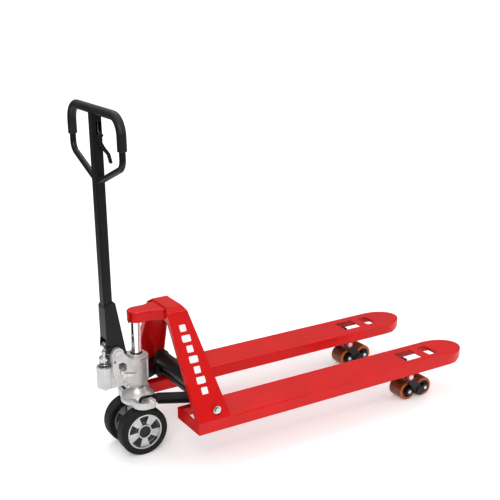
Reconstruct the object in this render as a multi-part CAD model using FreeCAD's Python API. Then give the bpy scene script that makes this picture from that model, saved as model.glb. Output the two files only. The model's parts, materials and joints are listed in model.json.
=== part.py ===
import FreeCAD, Part
import math
import os

# A hand pallet truck, drawn with its forks raised. Lengths are millimetres and angles are degrees.
# While the pieces are drawn, x is measured from the steering axis towards the fork tips, y is
# measured from the middle plane (left is +y) and z from the floor. Saving moves every piece back
# by the same distance, so that the origin lies on the floor under the middle of the outline.

V = FreeCAD.Vector

# ---------------------------------------------------------------- driving dimensions
overall_width = 550.0
fork_width = 160.0
fork_top = 175.0
fork_depth = 45.0
fork_tip_x = 1362.0
nose_length = 115.0
heel_x = 100.0
blade_x = 240.0
sheet = 4.0
fork_edge_radius = 6.0

lift_down = 90.0

# windows in the fork top: rear edge, length and width of each
window_rear_x = 1058.0
window_rear_length = 83.0
window_rear_width = 82.0
window_front_x = 1179.0
window_front_length = 46.0
window_front_width = 79.0
window_radius = 6.0
nose_lip_x = 1284.0
nose_lip_length = 8.0
nose_tip_height = 24.0
nose_run_out = 20.0

# heel cut-out and the strips beside it
heel_strip = 30.0
heel_front_strip = 18.0

# legs, head and tongue
leg_sheet = 6.0
leg_flange = 22.0
leg_flange_sheet = 5.0
leg_rear_x = 98.0
leg_front_x = 226.0
leg_top_rear_x = 85.5
leg_top_front_x = 166.0
leg_top_z = 515.0
leg_top_y = 80.0
saddle_top_z = 531.0
saddle_half_width = 57.0
saddle_rear_x = 97.0
saddle_front_x = 155.0
saddle_sheet = 6.0
tongue_bottom_z = 487.0
tongue_end_x = -28.0
tongue_half_width_rear = 36.0
tongue_half_width_front = 52.0
tongue_flare_x = 45.0
tongue_wall = 5.0
tongue_edge_radius = 6.0
gusset_x = 90.0
gusset_arch_z = 440.0
gusset_arch_half_width = 115.0

# lifting ram
rod_radius = 18.0
rod_head_radius = 18.95
rod_head_length = 14.0
rod_bottom_z = 312.0
rod_seat_radius = 24.0
rod_seat_depth = 23.0

# rocker pivot in the legs
pivot_x = 178.0
pivot_z = 203.0
shaft_radius = 12.5
shaft_boss_radius = 18.0
shaft_boss_length = 26.0
shaft_boss_inset = 13.0
running_clearance = 0.05

# rocker
rear_pin_x = 10.0
rear_pin_z = 208.0
rear_pin_radius = 8.0
rear_slot_clearance = 3.0
rear_slot_end_trim = 1.5
rear_eye_wall = 4.0
splay_x = 18.0
arm_taper = 22.0
rear_swing_share = 1.02
eye_inner_y = 68.0
eye_outer_y = 81.0
arm_sheet = 5.0
arm_flange = 15.0
arm_flange_sheet = 4.0
arm_bottom_z = 195.0
arm_top_z = 231.0
arm_end_x = 142.0
arm_end_y = 138.0
rocker_plate_inner_y = 132.0
rocker_plate = 12.0
rocker_plate_rear_x = 140.0
rocker_plate_front_x = 196.0
rocker_plate_top_z = 286.0
rocker_plate_corner = 25.0
rocker_plate_nose = 26.0
torsion_x = 168.0
torsion_z = 252.0
torsion_radius = 30.0
torsion_wall = 5.0
hub_radius = 20.0
crank_thickness = 16.0
crank_eye_radius = 13.0
crank_pin_radius = 7.0

# roller links and push rods
link_pin_x = 1056.0
link_pin_z = 119.0
link_pin_radius = 10.0
link_tube_radius = 14.2
link_plate_inner = 50.2
link_plate = 8.0
link_top_arm = 36.0
link_eye_radius = 16.0
link_top_eye_radius = 12.0
lug_radius = 15.0
lug_thickness = 6.0
rod_shank_radius = 10.0
clevis_ear = 6.0
clevis_base_length = 16.0
rod_eye_half_length = 15.0
rod_eye_half_width = 12.0
rod_slot_half_length = 8.2
rod_slot_down = 12.2
rod_slot_up = 14.2
rod_eye_wall = 2.4

# load rollers and their bogies
roller_radius = 38.0
roller_width = 70.0
roller_tyre_thickness = 11.0
roller_axle_radius = 8.0
roller_pitch = 82.0
bogie_x = 1120.0
bogie_plate_inner = 40.0
bogie_plate = 8.0
bogie_end_radius = 17.0
bogie_boss_radius = 20.0
bogie_waist = 11.0
bogie_pin_radius = 9.0
bogie_cap_radius = 17.0

# steer wheels
wheel_radius = 90.0
wheel_width = 48.0
wheel_inner_y = 34.0
wheel_rim_radius = 66.0
rim_thickness = 6.0
spoke_count = 5
axle_x = -14.0
axle_radius = 10.0
bearing_radius = 20.0
bearing_width = 12.0
wheel_boss_radius = 27.0
wheel_cap_radius = 21.7

# carrier
carrier_bottom_z = 184.0
carrier_thickness = 24.0
carrier_rear_x = -47.0
carrier_arm_inner_y = 84.0
carrier_arm_outer_y = 101.0
carrier_end_radius = 14.0
carrier_dome_radius = 62.0
carrier_dome_top_z = 236.0
thrust_bearing_thickness = 9.0
face_gap = 0.3

# pump
spindle_radius = 24.0
cylinder_radius = 36.0
cylinder_bottom_z = 248.0
cylinder_top_z = 350.0
cylinder_bore = 19.0
cylinder_floor_z = 218.0
cap_radius = 42.0
cap_flange = 7.0
gland_radius = 33.0
gland_height = 7.0
ear_inner_y = 28.0
ear_outer_y = 44.0
ear_radius = 22.0
handle_pivot_x = -88.0
handle_pivot_z = 391.0
handle_pin_radius = 9.0
plunger_x = -122.0
housing_radius = 30.0
housing_bore = 23.5
housing_top_z = 340.0
housing_rim = 7.0
housing_bottom_z = 262.0
housing_floor_z = 290.0
guide_radius = 12.0
guide_top_z = 305.0
plunger_radius = 8.0
plunger_top_z = 396.5
plunger_bottom_z = 295.0
plunger_bore_bottom_z = 256.0
spring_cap_radius = 19.5
spring_cap_bottom_z = 363.0
spring_cap_thickness = 18.0
spring_wire_radius = 1.75
spring_coil_radius = 17.0
spring_turns = 7.0
plug_radius = 11.0
plug_bottom_z = 249.0
valve_x = -68.0
valve_z = 308.0
valve_shaft_radius = 5.0

# handle, drawn upright and then leaned back about its pivot
handle_lean = 0.75
tube_x = -103.6
tube_depth = 32.5
tube_width = 44.0
tube_wall = 3.0
tube_corner = 8.0
tube_bottom_z = 545.0
bracket_half_width = 27.0
bracket_sheet = 5.0
bracket_rear_x = -121.5
bracket_top_front_x = -81.0
bracket_low_front_x = -48.5
bracket_low_z = 372.0
bracket_top_z = 578.0
bracket_window_top_z = 446.0
press_roller_x = -112.0
press_roller_z = 414.0
press_roller_radius = 15.0
press_roller_half_width = 12.0
press_pin_radius = 6.0
loop_top_z = 1234.0
loop_half_width = 203.0
loop_tube_radius = 10.5
loop_top_bend = 58.0
loop_low_bend = 40.0
loop_corner_z = 1077.0
loop_join_z = 998.0
grip_radius = 15.5
grip_end_z = 1128.0
lever_x = -107.0
lever_z = 1150.0
lever_reach = 12.0
lever_sheet = 8.0
lever_pin_radius = 4.0
lever_peg_radius = 3.0
side_window_low_z = 1158.0
side_window_top_z = 1197.0
side_window_rear_x = -111.0
side_window_front_x = -90.4
pull_rod_radius = 3.0
pull_rod_low_z = 445.0
pull_rod_top_z = 1192.0

# ---------------------------------------------------------------- values that follow
fork_y = (overall_width - fork_width) / 2
shaft_boss_outer_y = overall_width / 2 - shaft_boss_inset
shaft_boss_inner_y = shaft_boss_outer_y - shaft_boss_length
fork_half = fork_width / 2
fork_bottom = fork_top - fork_depth
nose_x = fork_tip_x - nose_length
plate_under_z = fork_top - sheet
leg_slope = (overall_width / 2 - leg_top_y) / (leg_top_z - fork_top)
leg_angle = math.degrees(math.atan(1 / leg_slope))
tongue_top_z = saddle_top_z - saddle_sheet
roller_z = roller_radius
rear_reach = -plunger_x + housing_radius
middle_x = (fork_tip_x - rear_reach) / 2
wheel_z = wheel_radius
carrier_top_z = carrier_bottom_z + carrier_thickness

# The rocker turns about its shaft so that its rear eyes stay on the carrier's pins.
rocker_length = pivot_x - rear_pin_x
pin_rise = rear_pin_z - pivot_z
rocker_tilt = math.degrees(math.atan2(pin_rise, rocker_length))
rocker_near = math.hypot(rocker_length, pin_rise)
rocker_far = math.hypot(rocker_length, lift_down + pin_rise)
rocker_turn = math.degrees(math.atan2(lift_down + pin_rise, rocker_length)) - rocker_tilt
rocker_swing = rocker_turn * rear_swing_share

# The roller link swings from the raised forks to the lowered ones with its rollers on the floor.
link_run = bogie_x - link_pin_x
link_drop = link_pin_z - roller_z
link_length = math.hypot(link_run, link_drop)
link_swing = math.degrees(math.asin(link_drop / link_length) + math.asin((lift_down - link_drop) / link_length))
rod_pin_x = link_pin_x + link_top_arm * math.sin(math.radians(link_swing / 2))
rod_pin_z = link_pin_z + link_top_arm * math.cos(math.radians(link_swing / 2))

# The crank moves the push rod as far as the top of the roller link moves.
crank_length = link_top_arm * math.sin(math.radians(link_swing / 2)) / math.sin(math.radians(rocker_swing / 2))
crank_pin_x = pivot_x + crank_length * math.sin(math.radians(rocker_swing / 2))
crank_pin_z = pivot_z - crank_length * math.cos(math.radians(rocker_swing / 2))
rod_length = math.hypot(rod_pin_x - crank_pin_x, rod_pin_z - crank_pin_z)
rod_rise = math.degrees(math.atan2(rod_pin_z - crank_pin_z, rod_pin_x - crank_pin_x))


# ---------------------------------------------------------------- shape helpers
def box(x0, x1, y0, y1, z0, z1):
    return Part.makeBox(x1 - x0, y1 - y0, z1 - z0, V(x0, y0, z0))


def cylinder_x(y, z, radius, x0, x1):
    return Part.makeCylinder(radius, x1 - x0, V(x0, y, z), V(1, 0, 0))


def cylinder_y(x, z, radius, y0, y1):
    return Part.makeCylinder(radius, y1 - y0, V(x, y0, z), V(0, 1, 0))


def cylinder_z(x, y, radius, z0, z1):
    return Part.makeCylinder(radius, z1 - z0, V(x, y, z0), V(0, 0, 1))


def tube_y(x, z, outer, inner, y0, y1):
    return cylinder_y(x, z, outer, y0, y1).cut(cylinder_y(x, z, inner, y0 - 1, y1 + 1))


def tube_z(x, y, outer, inner, z0, z1):
    return cylinder_z(x, y, outer, z0, z1).cut(cylinder_z(x, y, inner, z0 - 1, z1 + 1))


def polygon_face(points):
    return Part.Face(Part.makePolygon(points + [points[0]]))


def prism_y(outline, y0, y1):
    """Extrude an outline of (x, z) points along y."""
    face = polygon_face([V(x, y0, z) for x, z in outline])
    return face.extrude(V(0, y1 - y0, 0))


def prism_x(outline, x0, x1):
    """Extrude an outline of (y, z) points along x."""
    face = polygon_face([V(x0, y, z) for y, z in outline])
    return face.extrude(V(x1 - x0, 0, 0))


def bar(start, start_radius, end, end_radius, y0, y1):
    """A flat bar with round ends: two circles in the xz plane and their outer tangents, along y."""
    dx = end[0] - start[0]
    dz = end[1] - start[1]
    heading = math.atan2(dz, dx)
    spread = math.acos((start_radius - end_radius) / math.hypot(dx, dz))

    def rim(centre, radius, angle):
        return V(centre[0] + radius * math.cos(angle), y0, centre[1] + radius * math.sin(angle))

    a = rim(start, start_radius, heading + spread)
    b = rim(start, start_radius, heading + math.pi)
    c = rim(start, start_radius, heading - spread)
    d = rim(end, end_radius, heading - spread)
    e = rim(end, end_radius, heading)
    f = rim(end, end_radius, heading + spread)
    edges = [Part.Arc(a, b, c).toShape(), Part.makeLine(c, d), Part.Arc(d, e, f).toShape(),
             Part.makeLine(f, a)]
    return Part.Face(Part.Wire(edges)).extrude(V(0, y1 - y0, 0))


def hexagon_y(x, z, radius, y0, y1):
    corners = [math.radians(60 * i) for i in range(6)]
    return prism_y([(x + radius * math.cos(a), z + radius * math.sin(a)) for a in corners], y0, y1)


def hexagon_z(x, y, radius, z0, z1):
    corners = [math.radians(60 * i) for i in range(6)]
    face = polygon_face([V(x + radius * math.cos(a), y + radius * math.sin(a), z0) for a in corners])
    return face.extrude(V(0, 0, z1 - z0))


def fuse(first, *others):
    return first.fuse(list(others)).removeSplitter()


def fillet_where(shape, radius, chosen):
    """Round every edge whose middle point passes the test."""
    return shape.makeFillet(radius, [edge for edge in shape.Edges if chosen(edge)])


def chamfer_where(shape, size, chosen):
    return shape.makeChamfer(size, [edge for edge in shape.Edges if chosen(edge)])


def middle_of(edge):
    return edge.valueAt((edge.FirstParameter + edge.LastParameter) / 2)


def is_circle(edge):
    return isinstance(edge.Curve, Part.Circle)


def is_near(value, target):
    return abs(value - target) < 0.01


def mirrored(shape):
    return shape.mirror(V(0, 0, 0), V(0, 1, 0))


def turned_y(shape, x, z, angle):
    """Turn a copy about the y direction through (x, z), from +z towards -x for a positive angle."""
    copy = shape.copy()
    copy.rotate(V(x, 0, z), V(0, -1, 0), angle)
    return copy


def save(name, *solids):
    """Write one node, moved so that the row's origin is under the middle of the outline."""
    shape = solids[0] if len(solids) == 1 else Part.makeCompound(list(solids))
    shape = shape.copy()
    shape.translate(V(-middle_x, 0, 0))
    shape.exportStep(os.path.join("parts", name + ".step"))


def save_both(name, shape):
    """Write a left piece and its mirror image."""
    save(name + "_left", shape)
    save(name + "_right", mirrored(shape))


def save_pair(name, shape):
    """Write a left piece and its mirror image as one node."""
    save(name, shape, mirrored(shape))


# ---------------------------------------------------------------- forks
def fork_outline(inset, z0, z1):
    """The plan of a blade about its own middle line: straight sides and a half-elliptic nose."""
    half = fork_half - inset
    ellipse = Part.Ellipse(V(nose_x, fork_y, z0), nose_length - inset, half)
    nose = Part.ArcOfEllipse(ellipse, -math.pi / 2, math.pi / 2).toShape()
    low = V(nose_x, fork_y - half, z0)
    high = V(nose_x, fork_y + half, z0)
    low_rear = V(blade_x, fork_y - half, z0)
    high_rear = V(blade_x, fork_y + half, z0)
    sides = [Part.makeLine(high, high_rear), Part.makeLine(high_rear, low_rear),
             Part.makeLine(low_rear, low)]
    return Part.Face(Part.Wire([nose] + sides)).extrude(V(0, 0, z1 - z0))


def window(rear_x, length, width):
    cut = box(rear_x, rear_x + length, fork_y - width / 2, fork_y + width / 2, plate_under_z - 1,
              fork_top + 1)
    upright = 2 + sheet
    return fillet_where(cut, window_radius, lambda e: is_near(e.Length, upright))


def make_fork_blade():
    shell = fork_outline(0, fork_bottom, fork_top)
    shell = fillet_where(
        shell, fork_edge_radius,
        lambda e: is_near(middle_of(e).z, fork_top) and middle_of(e).x > blade_x + 1
    )
    shell = shell.cut(fork_outline(sheet, fork_bottom - 1, plate_under_z).fuse(
        box(blade_x - 1, blade_x + 1, fork_y - fork_half + sheet, fork_y + fork_half - sheet,
            fork_bottom - 1, plate_under_z)))
    slope_end = fork_tip_x + nose_run_out
    shell = shell.cut(prism_y(
        [(nose_lip_x + nose_lip_length, fork_bottom - 1), (nose_lip_x + nose_lip_length, fork_bottom),
         (slope_end, fork_top - nose_tip_height), (slope_end, fork_bottom - 1)],
        fork_y - fork_width, fork_y + fork_width))
    inner = fork_half - sheet
    lip = box(nose_lip_x, nose_lip_x + nose_lip_length, fork_y - inner, fork_y + inner, fork_bottom - 3,
              fork_bottom + 10)
    lip = lip.common(fork_outline(sheet / 2, fork_bottom - 4, fork_bottom + 11))
    lugs = []
    for side in (-1, 1):
        edges = sorted((fork_y + side * inner, fork_y + side * (inner - lug_thickness)))
        plate = box(link_pin_x - lug_radius, link_pin_x + lug_radius, edges[0], edges[1], link_pin_z,
                    plate_under_z)
        round_end = cylinder_y(link_pin_x, link_pin_z, lug_radius, edges[0], edges[1])
        lugs.append(plate.fuse(round_end))
    shell = fuse(shell, lip, *lugs)
    shell = shell.cut(cylinder_y(link_pin_x, link_pin_z, link_pin_radius, fork_y - fork_half,
                                 fork_y + fork_half))
    shell = shell.cut(window(window_rear_x, window_rear_length, window_rear_width))
    return shell.cut(window(window_front_x, window_front_length, window_front_width))


def make_fork_heel():
    low = fork_y - fork_half
    high = fork_y + fork_half
    shell = box(heel_x, blade_x, low, high, fork_bottom, fork_top)
    shell = fillet_where(
        shell, fork_edge_radius,
        lambda e: is_near(middle_of(e).z, fork_top) and is_near(middle_of(e).y, low)
    )
    shell = shell.cut(box(heel_x + sheet, blade_x + 1, low + sheet, high - sheet, fork_bottom - 1,
                          plate_under_z))
    return shell.cut(box(heel_x + sheet, blade_x - heel_front_strip, low + heel_strip, high - heel_strip,
                         plate_under_z - 1, fork_top + 1))


# ---------------------------------------------------------------- legs, head and tongue
def leg_face_y(z):
    """How far out the outer face of a leg is at height z."""
    return overall_width / 2 - leg_slope * (z - fork_top)


def leg_slab(depth):
    """The inclined slab between the outer face of the left leg and a plane that deep inside it."""
    step = depth / math.sin(math.radians(leg_angle))
    bottom = leg_face_y(fork_top)
    return prism_x(
        [(bottom, fork_top), (leg_top_y, leg_top_z), (leg_top_y - step, leg_top_z),
         (bottom - step, fork_top)],
        leg_top_rear_x - 1, leg_front_x + 1)


def leg_side(inset):
    """The side view of a leg, drawn in by the same distance at both edges."""
    return prism_y(
        [(leg_rear_x + inset, fork_top), (leg_front_x - inset, fork_top),
         (leg_top_front_x - inset, leg_top_z), (leg_top_rear_x + inset, leg_top_z)],
        0, overall_width)


def make_leg():
    flanges = leg_slab(leg_flange).common(leg_side(0).cut(leg_side(leg_flange_sheet)))
    leg = fuse(leg_slab(leg_sheet).common(leg_side(0)), flanges)
    hole = cylinder_y(pivot_x, pivot_z, shaft_boss_radius, 0, overall_width)
    boss = cylinder_y(pivot_x, pivot_z, shaft_boss_radius, shaft_boss_inner_y, shaft_boss_outer_y)
    leg = fuse(leg.cut(hole), boss)
    return leg.cut(cylinder_y(pivot_x, pivot_z, shaft_radius, 0, overall_width))


def make_head_saddle():
    """A folded plate: a flat top between two sloping shoulders that meet the tops of the legs."""
    drop = saddle_sheet * 1.15
    section = [(-leg_top_y, leg_top_z), (-saddle_half_width, saddle_top_z),
               (saddle_half_width, saddle_top_z),
               (leg_top_y, leg_top_z), (leg_top_y - drop, leg_top_z), (saddle_half_width - 2, tongue_top_z),
               (2 - saddle_half_width, tongue_top_z), (drop - leg_top_y, leg_top_z)]
    plate = prism_x(section, leg_top_rear_x, leg_top_front_x)
    side = [(leg_top_rear_x, leg_top_z), (leg_top_front_x, leg_top_z), (saddle_front_x, saddle_top_z + 1),
            (saddle_rear_x, saddle_top_z + 1)]
    return plate.common(prism_y(side, -overall_width, overall_width))


def tongue_plan(inset, z0, z1):
    """The plan of the tongue: a round rear end, a parallel part and a flare to the head."""
    radius = tongue_half_width_rear - inset
    centre_x = tongue_end_x + tongue_half_width_rear
    front = tongue_half_width_front - inset
    points = [V(centre_x, -radius, z0), V(tongue_flare_x, -radius, z0), V(saddle_rear_x, -front, z0),
              V(saddle_front_x, -front, z0), V(saddle_front_x, front, z0), V(saddle_rear_x, front, z0),
              V(tongue_flare_x, radius, z0), V(centre_x, radius, z0)]
    nose = Part.Arc(points[-1], V(centre_x - radius, 0, z0), points[0]).toShape()
    wire = Part.Wire([nose] + [Part.makeLine(a, b) for a, b in zip(points, points[1:])])
    return Part.Face(wire).extrude(V(0, 0, z1 - z0))


def make_head_tongue():
    """A box arm over the ram, open at its front end, with the seat for the top of the rod inside."""
    arm = tongue_plan(0, tongue_bottom_z, tongue_top_z)
    arm = fillet_where(
        arm, tongue_edge_radius,
        lambda e: is_near(middle_of(e).z, tongue_top_z) and middle_of(e).x < saddle_rear_x
    )
    hollow = tongue_plan(tongue_wall, tongue_bottom_z + tongue_wall, tongue_top_z - tongue_wall)
    inner = tongue_half_width_front - tongue_wall
    open_end = box(saddle_front_x - tongue_wall - 1, saddle_front_x + 1, -inner, inner,
                   tongue_bottom_z + tongue_wall, tongue_top_z - tongue_wall)
    seat = cylinder_z(0, 0, rod_seat_radius, tongue_bottom_z, tongue_top_z - tongue_wall)
    arm = fuse(arm.cut(hollow.fuse(open_end)), seat)
    return arm.cut(cylinder_z(0, 0, rod_radius, tongue_bottom_z - 1, tongue_bottom_z + rod_seat_depth))


def make_head_gusset():
    """The left half of the arched web that braces the legs to the tongue."""
    inner_top = leg_top_y - leg_sheet / math.sin(math.radians(leg_angle))
    outer_low = inner_top + leg_slope * (leg_top_z - gusset_arch_z)
    web = prism_x([(0, gusset_arch_z), (outer_low, gusset_arch_z), (inner_top, leg_top_z), (0, leg_top_z)],
                  gusset_x, gusset_x + leg_sheet)
    arch_height = tongue_bottom_z - gusset_arch_z
    arch = Part.Ellipse(V(gusset_x - 1, gusset_arch_half_width, gusset_arch_z),
                        V(gusset_x - 1, 0, gusset_arch_z + arch_height), V(gusset_x - 1, 0, gusset_arch_z))
    opening = Part.Face(Part.Wire([arch.toShape()])).extrude(V(leg_sheet + 2, 0, 0))
    web = web.cut(opening)
    web = web.cut(tongue_plan(0, tongue_bottom_z, tongue_top_z + 1))
    web = web.cut(make_leg())
    web = web.cut(box(0, overall_width, -1, tongue_half_width_rear / 2, 0, tongue_top_z))
    return max(web.Solids, key=lambda solid: solid.Volume)


def make_piston_rod():
    rod = cylinder_z(0, 0, rod_radius, rod_bottom_z, tongue_bottom_z + rod_seat_depth)
    rod = chamfer_where(rod, 1.5, lambda e: is_circle(e) and middle_of(e).z > tongue_bottom_z)
    return fuse(rod, cylinder_z(0, 0, rod_head_radius, rod_bottom_z, rod_bottom_z + rod_head_length))


def make_shaft_bolt():
    """The washer and hexagon screw in the left end of the rocker shaft."""
    face = shaft_boss_outer_y
    washer = cylinder_y(pivot_x, pivot_z, 15.0, face, face + 2.0)
    head = hexagon_y(pivot_x, pivot_z, 11.0, face + 2.0, face + 9.0)
    return fuse(washer, head)


def make_head_screw():
    return hexagon_z(tongue_end_x + 5.0, 0, 4.5, tongue_bottom_z - 7.0, tongue_bottom_z)


def make_link_pin():
    """The cross pin of the left roller link, with a head on its outer end."""
    reach = fork_half - 1.5
    pin = cylinder_y(link_pin_x, link_pin_z, link_pin_radius, fork_y - reach, fork_y + reach)
    return chamfer_where(pin, 1.2, is_circle)


# ---------------------------------------------------------------- carrier
def make_carrier():
    """A horseshoe round the spindle with a domed hub and an arm to each rocker pin."""
    bore = spindle_radius + running_clearance
    dome = [V(bore, 0, carrier_bottom_z), V(carrier_dome_radius, 0, carrier_bottom_z),
            V(carrier_dome_radius, 0, carrier_bottom_z + 12),
            V(carrier_dome_radius - 4, 0, carrier_top_z - 2),
            V(carrier_dome_radius - 20, 0, carrier_dome_top_z - 14), V(bore + 10, 0, carrier_dome_top_z),
            V(bore, 0, carrier_dome_top_z)]
    hub = polygon_face(dome).revolve(V(0, 0, 0), V(0, 0, 1), 360)
    corner_x = carrier_rear_x + 33
    inner_x = carrier_rear_x + 16
    outer = [V(carrier_rear_x, 0, carrier_bottom_z), V(carrier_rear_x, 58, carrier_bottom_z)]
    sweep = Part.Arc(outer[1], V(carrier_rear_x + 8.5, 85, carrier_bottom_z),
                     V(corner_x, carrier_arm_outer_y, carrier_bottom_z))
    end_x = rear_pin_x
    lines = [
        Part.makeLine(outer[0], outer[1]), sweep.toShape(),
        Part.makeLine(V(corner_x, carrier_arm_outer_y, carrier_bottom_z),
                      V(end_x, carrier_arm_outer_y, carrier_bottom_z)),
        Part.makeLine(V(end_x, carrier_arm_outer_y, carrier_bottom_z),
                      V(end_x, carrier_arm_inner_y, carrier_bottom_z)),
        Part.makeLine(V(end_x, carrier_arm_inner_y, carrier_bottom_z),
                      V(inner_x, carrier_arm_inner_y, carrier_bottom_z)),
        Part.makeLine(V(inner_x, carrier_arm_inner_y, carrier_bottom_z), V(inner_x, 0, carrier_bottom_z)),
        Part.makeLine(V(inner_x, 0, carrier_bottom_z), outer[0]),
    ]
    band = Part.Face(Part.Wire(lines)).extrude(V(0, 0, carrier_thickness))
    end_z = carrier_bottom_z + carrier_end_radius
    arm_end = bar((rear_pin_x - 12, carrier_bottom_z + carrier_thickness / 2), carrier_thickness / 2,
                  (rear_pin_x, end_z), carrier_end_radius, carrier_arm_inner_y, carrier_arm_outer_y)
    boss = cylinder_y(rear_pin_x, rear_pin_z, carrier_end_radius, carrier_arm_inner_y, carrier_arm_outer_y)
    band = band.cut(box(rear_pin_x - 1, rear_pin_x + 40, 0, overall_width, 0, carrier_top_z + 1))
    half = band.fuse([arm_end, boss])
    casting = fuse(hub, half, mirrored(half))
    casting = casting.cut(cylinder_z(0, 0, spindle_radius + running_clearance, 0, carrier_dome_top_z + 1))
    for side in (-1, 1):
        edges = sorted((side * (carrier_arm_inner_y - 1), side * (carrier_arm_outer_y + 1)))
        casting = casting.cut(cylinder_y(rear_pin_x, rear_pin_z, rear_pin_radius, edges[0], edges[1]))
    return casting


def make_carrier_pin():
    pin = cylinder_y(rear_pin_x, rear_pin_z, rear_pin_radius, eye_inner_y - 3, carrier_arm_outer_y + 1.5)
    return chamfer_where(pin, 1.0, is_circle)


def make_thrust_bearing():
    top = carrier_dome_top_z + thrust_bearing_thickness
    ring = tube_z(0, 0, spindle_radius + 8, spindle_radius + face_gap, carrier_dome_top_z, top)
    groove = Part.makeTorus(spindle_radius + 9, 2.0, V(0, 0, (carrier_dome_top_z + top) / 2))
    return ring.cut(groove)


# ---------------------------------------------------------------- rocker
def make_torsion_tube():
    """The weldment round the shaft: two tall side plates, a large tube and a sleeve between them."""
    outer_y = rocker_plate_inner_y + rocker_plate
    plate = box(rocker_plate_rear_x, rocker_plate_front_x, rocker_plate_inner_y, outer_y,
                pivot_z - rocker_plate, rocker_plate_top_z)
    plate = fillet_where(
        plate, rocker_plate_corner,
        lambda e: is_near(middle_of(e).z, rocker_plate_top_z) and is_near(e.Length, rocker_plate))
    plate = fuse(plate, cylinder_y(pivot_x, pivot_z, rocker_plate_nose, rocker_plate_inner_y, outer_y))
    tube = tube_y(torsion_x, torsion_z, torsion_radius, torsion_radius - torsion_wall,
                  -rocker_plate_inner_y, rocker_plate_inner_y)
    sleeve = cylinder_y(pivot_x, pivot_z, hub_radius, -rocker_plate_inner_y, rocker_plate_inner_y)
    sleeve = sleeve.cut(cylinder_y(torsion_x, torsion_z, torsion_radius - torsion_wall, -outer_y, outer_y))
    weldment = fuse(plate, mirrored(plate), tube, sleeve)
    return weldment.cut(cylinder_y(pivot_x, pivot_z, shaft_radius + running_clearance, -outer_y - 1,
                                   outer_y + 1))


def along_rocker(distance):
    """The point that far behind the pivot, on the line through the carrier's pin."""
    tilt = math.radians(rocker_tilt)
    return (pivot_x - distance * math.cos(tilt), pivot_z + distance * math.sin(tilt))


def rocker_slot(wall, y0, y1):
    """The slot that the carrier's pin slides along while the rocker swings, grown by a wall."""
    radius = rear_pin_radius + rear_slot_clearance + wall
    return bar(along_rocker(rocker_far - rear_slot_end_trim), radius, along_rocker(rocker_near),
               radius - 0.001, y0, y1)


def make_rocker_arm():
    """A C-section arm, splayed outwards from its slotted rear eye to the side plate."""
    start_y = (eye_inner_y + eye_outer_y) / 2
    splay = math.degrees(math.atan2(arm_end_y - start_y, arm_end_x - splay_x))
    length = math.hypot(arm_end_y - start_y, arm_end_x - splay_x)
    half = arm_sheet / 2
    eye_half = rear_pin_radius + rear_slot_clearance + rear_eye_wall
    web = prism_y([(-8, rear_pin_z - eye_half), (0, rear_pin_z - eye_half), (arm_taper, arm_bottom_z),
                   (length, arm_bottom_z), (length, arm_top_z), (arm_taper, arm_top_z),
                   (0, rear_pin_z + eye_half),
                   (-8, rear_pin_z + eye_half)], -half, half)
    flanges = [
        box(arm_taper, length, -half, arm_flange, arm_bottom_z, arm_bottom_z + arm_flange_sheet),
        box(arm_taper, length, -half, arm_flange, arm_top_z - arm_flange_sheet, arm_top_z),
    ]
    arm = fuse(web, *flanges)
    arm.rotate(V(0, 0, 0), V(0, 0, 1), splay)
    arm.translate(V(splay_x, start_y, 0))
    arm = fuse(arm, rocker_slot(rear_eye_wall, eye_inner_y, eye_outer_y))
    arm = arm.cut(rocker_slot(0, 0, overall_width))
    arm = arm.cut(make_torsion_tube())
    return max(arm.Solids, key=lambda solid: solid.Volume)


def make_rocker_crank():
    outer_y = fork_y + crank_thickness / 2
    inner_y = fork_y - crank_thickness / 2
    sleeve = cylinder_y(pivot_x, pivot_z, hub_radius, rocker_plate_inner_y + rocker_plate,
                        shaft_boss_inner_y - 1)
    crank = bar((pivot_x, pivot_z), hub_radius, (crank_pin_x, crank_pin_z), crank_eye_radius, inner_y,
                outer_y)
    crank = fuse(sleeve, crank)
    crank = crank.cut(cylinder_y(pivot_x, pivot_z, shaft_radius + running_clearance, 0, overall_width))
    return crank.cut(cylinder_y(crank_pin_x, crank_pin_z, crank_pin_radius, 0, overall_width))


def make_crank_pin():
    reach = crank_thickness / 2 + clevis_ear + 2.0
    pin = cylinder_y(crank_pin_x, crank_pin_z, crank_pin_radius, fork_y - reach, fork_y + reach)
    return chamfer_where(pin, 0.8, is_circle)


# ---------------------------------------------------------------- push rods and roller links
def make_push_rod():
    """A round bar with a clevis on the crank and a slotted eye round the link's top pin."""
    ear_inner = crank_thickness / 2 + 0.4
    ear_outer = ear_inner + clevis_ear
    base_x = crank_eye_radius + 10.0
    end_x = base_x + clevis_base_length
    pieces = []
    for y0, y1 in ((ear_inner, ear_outer), (-ear_outer, -ear_inner)):
        pieces.append(bar((0, 0), crank_eye_radius, (end_x - crank_eye_radius, 0),
                          crank_eye_radius - 0.001, y0, y1))
    pieces.append(box(base_x, end_x, -ear_outer, ear_outer, -crank_eye_radius, crank_eye_radius))
    eye_top = rod_slot_up + rod_eye_wall
    eye_bottom = -rod_slot_down - rod_eye_wall
    eye = box(rod_length - rod_eye_half_length, rod_length + rod_eye_half_length,
              -rod_eye_half_width, rod_eye_half_width, eye_bottom, eye_top)
    eye = fillet_where(eye, 5.0, lambda e: is_near(e.Length, 2 * rod_eye_half_width))
    shank = cylinder_x(0, 0, rod_shank_radius, end_x - 1, rod_length - rod_eye_half_length + 1)
    rod = fuse(shank, eye, *pieces)
    slot = box(rod_length - rod_slot_half_length, rod_length + rod_slot_half_length,
               -rod_eye_half_width - 1, rod_eye_half_width + 1, -rod_slot_down, rod_slot_up)
    rod = rod.cut(slot)
    rod = rod.cut(cylinder_y(0, 0, crank_pin_radius + running_clearance, -ear_outer - 1, ear_outer + 1))
    rod.rotate(V(0, 0, 0), V(0, -1, 0), rod_rise)
    rod.translate(V(crank_pin_x, fork_y, crank_pin_z))
    return rod


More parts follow.
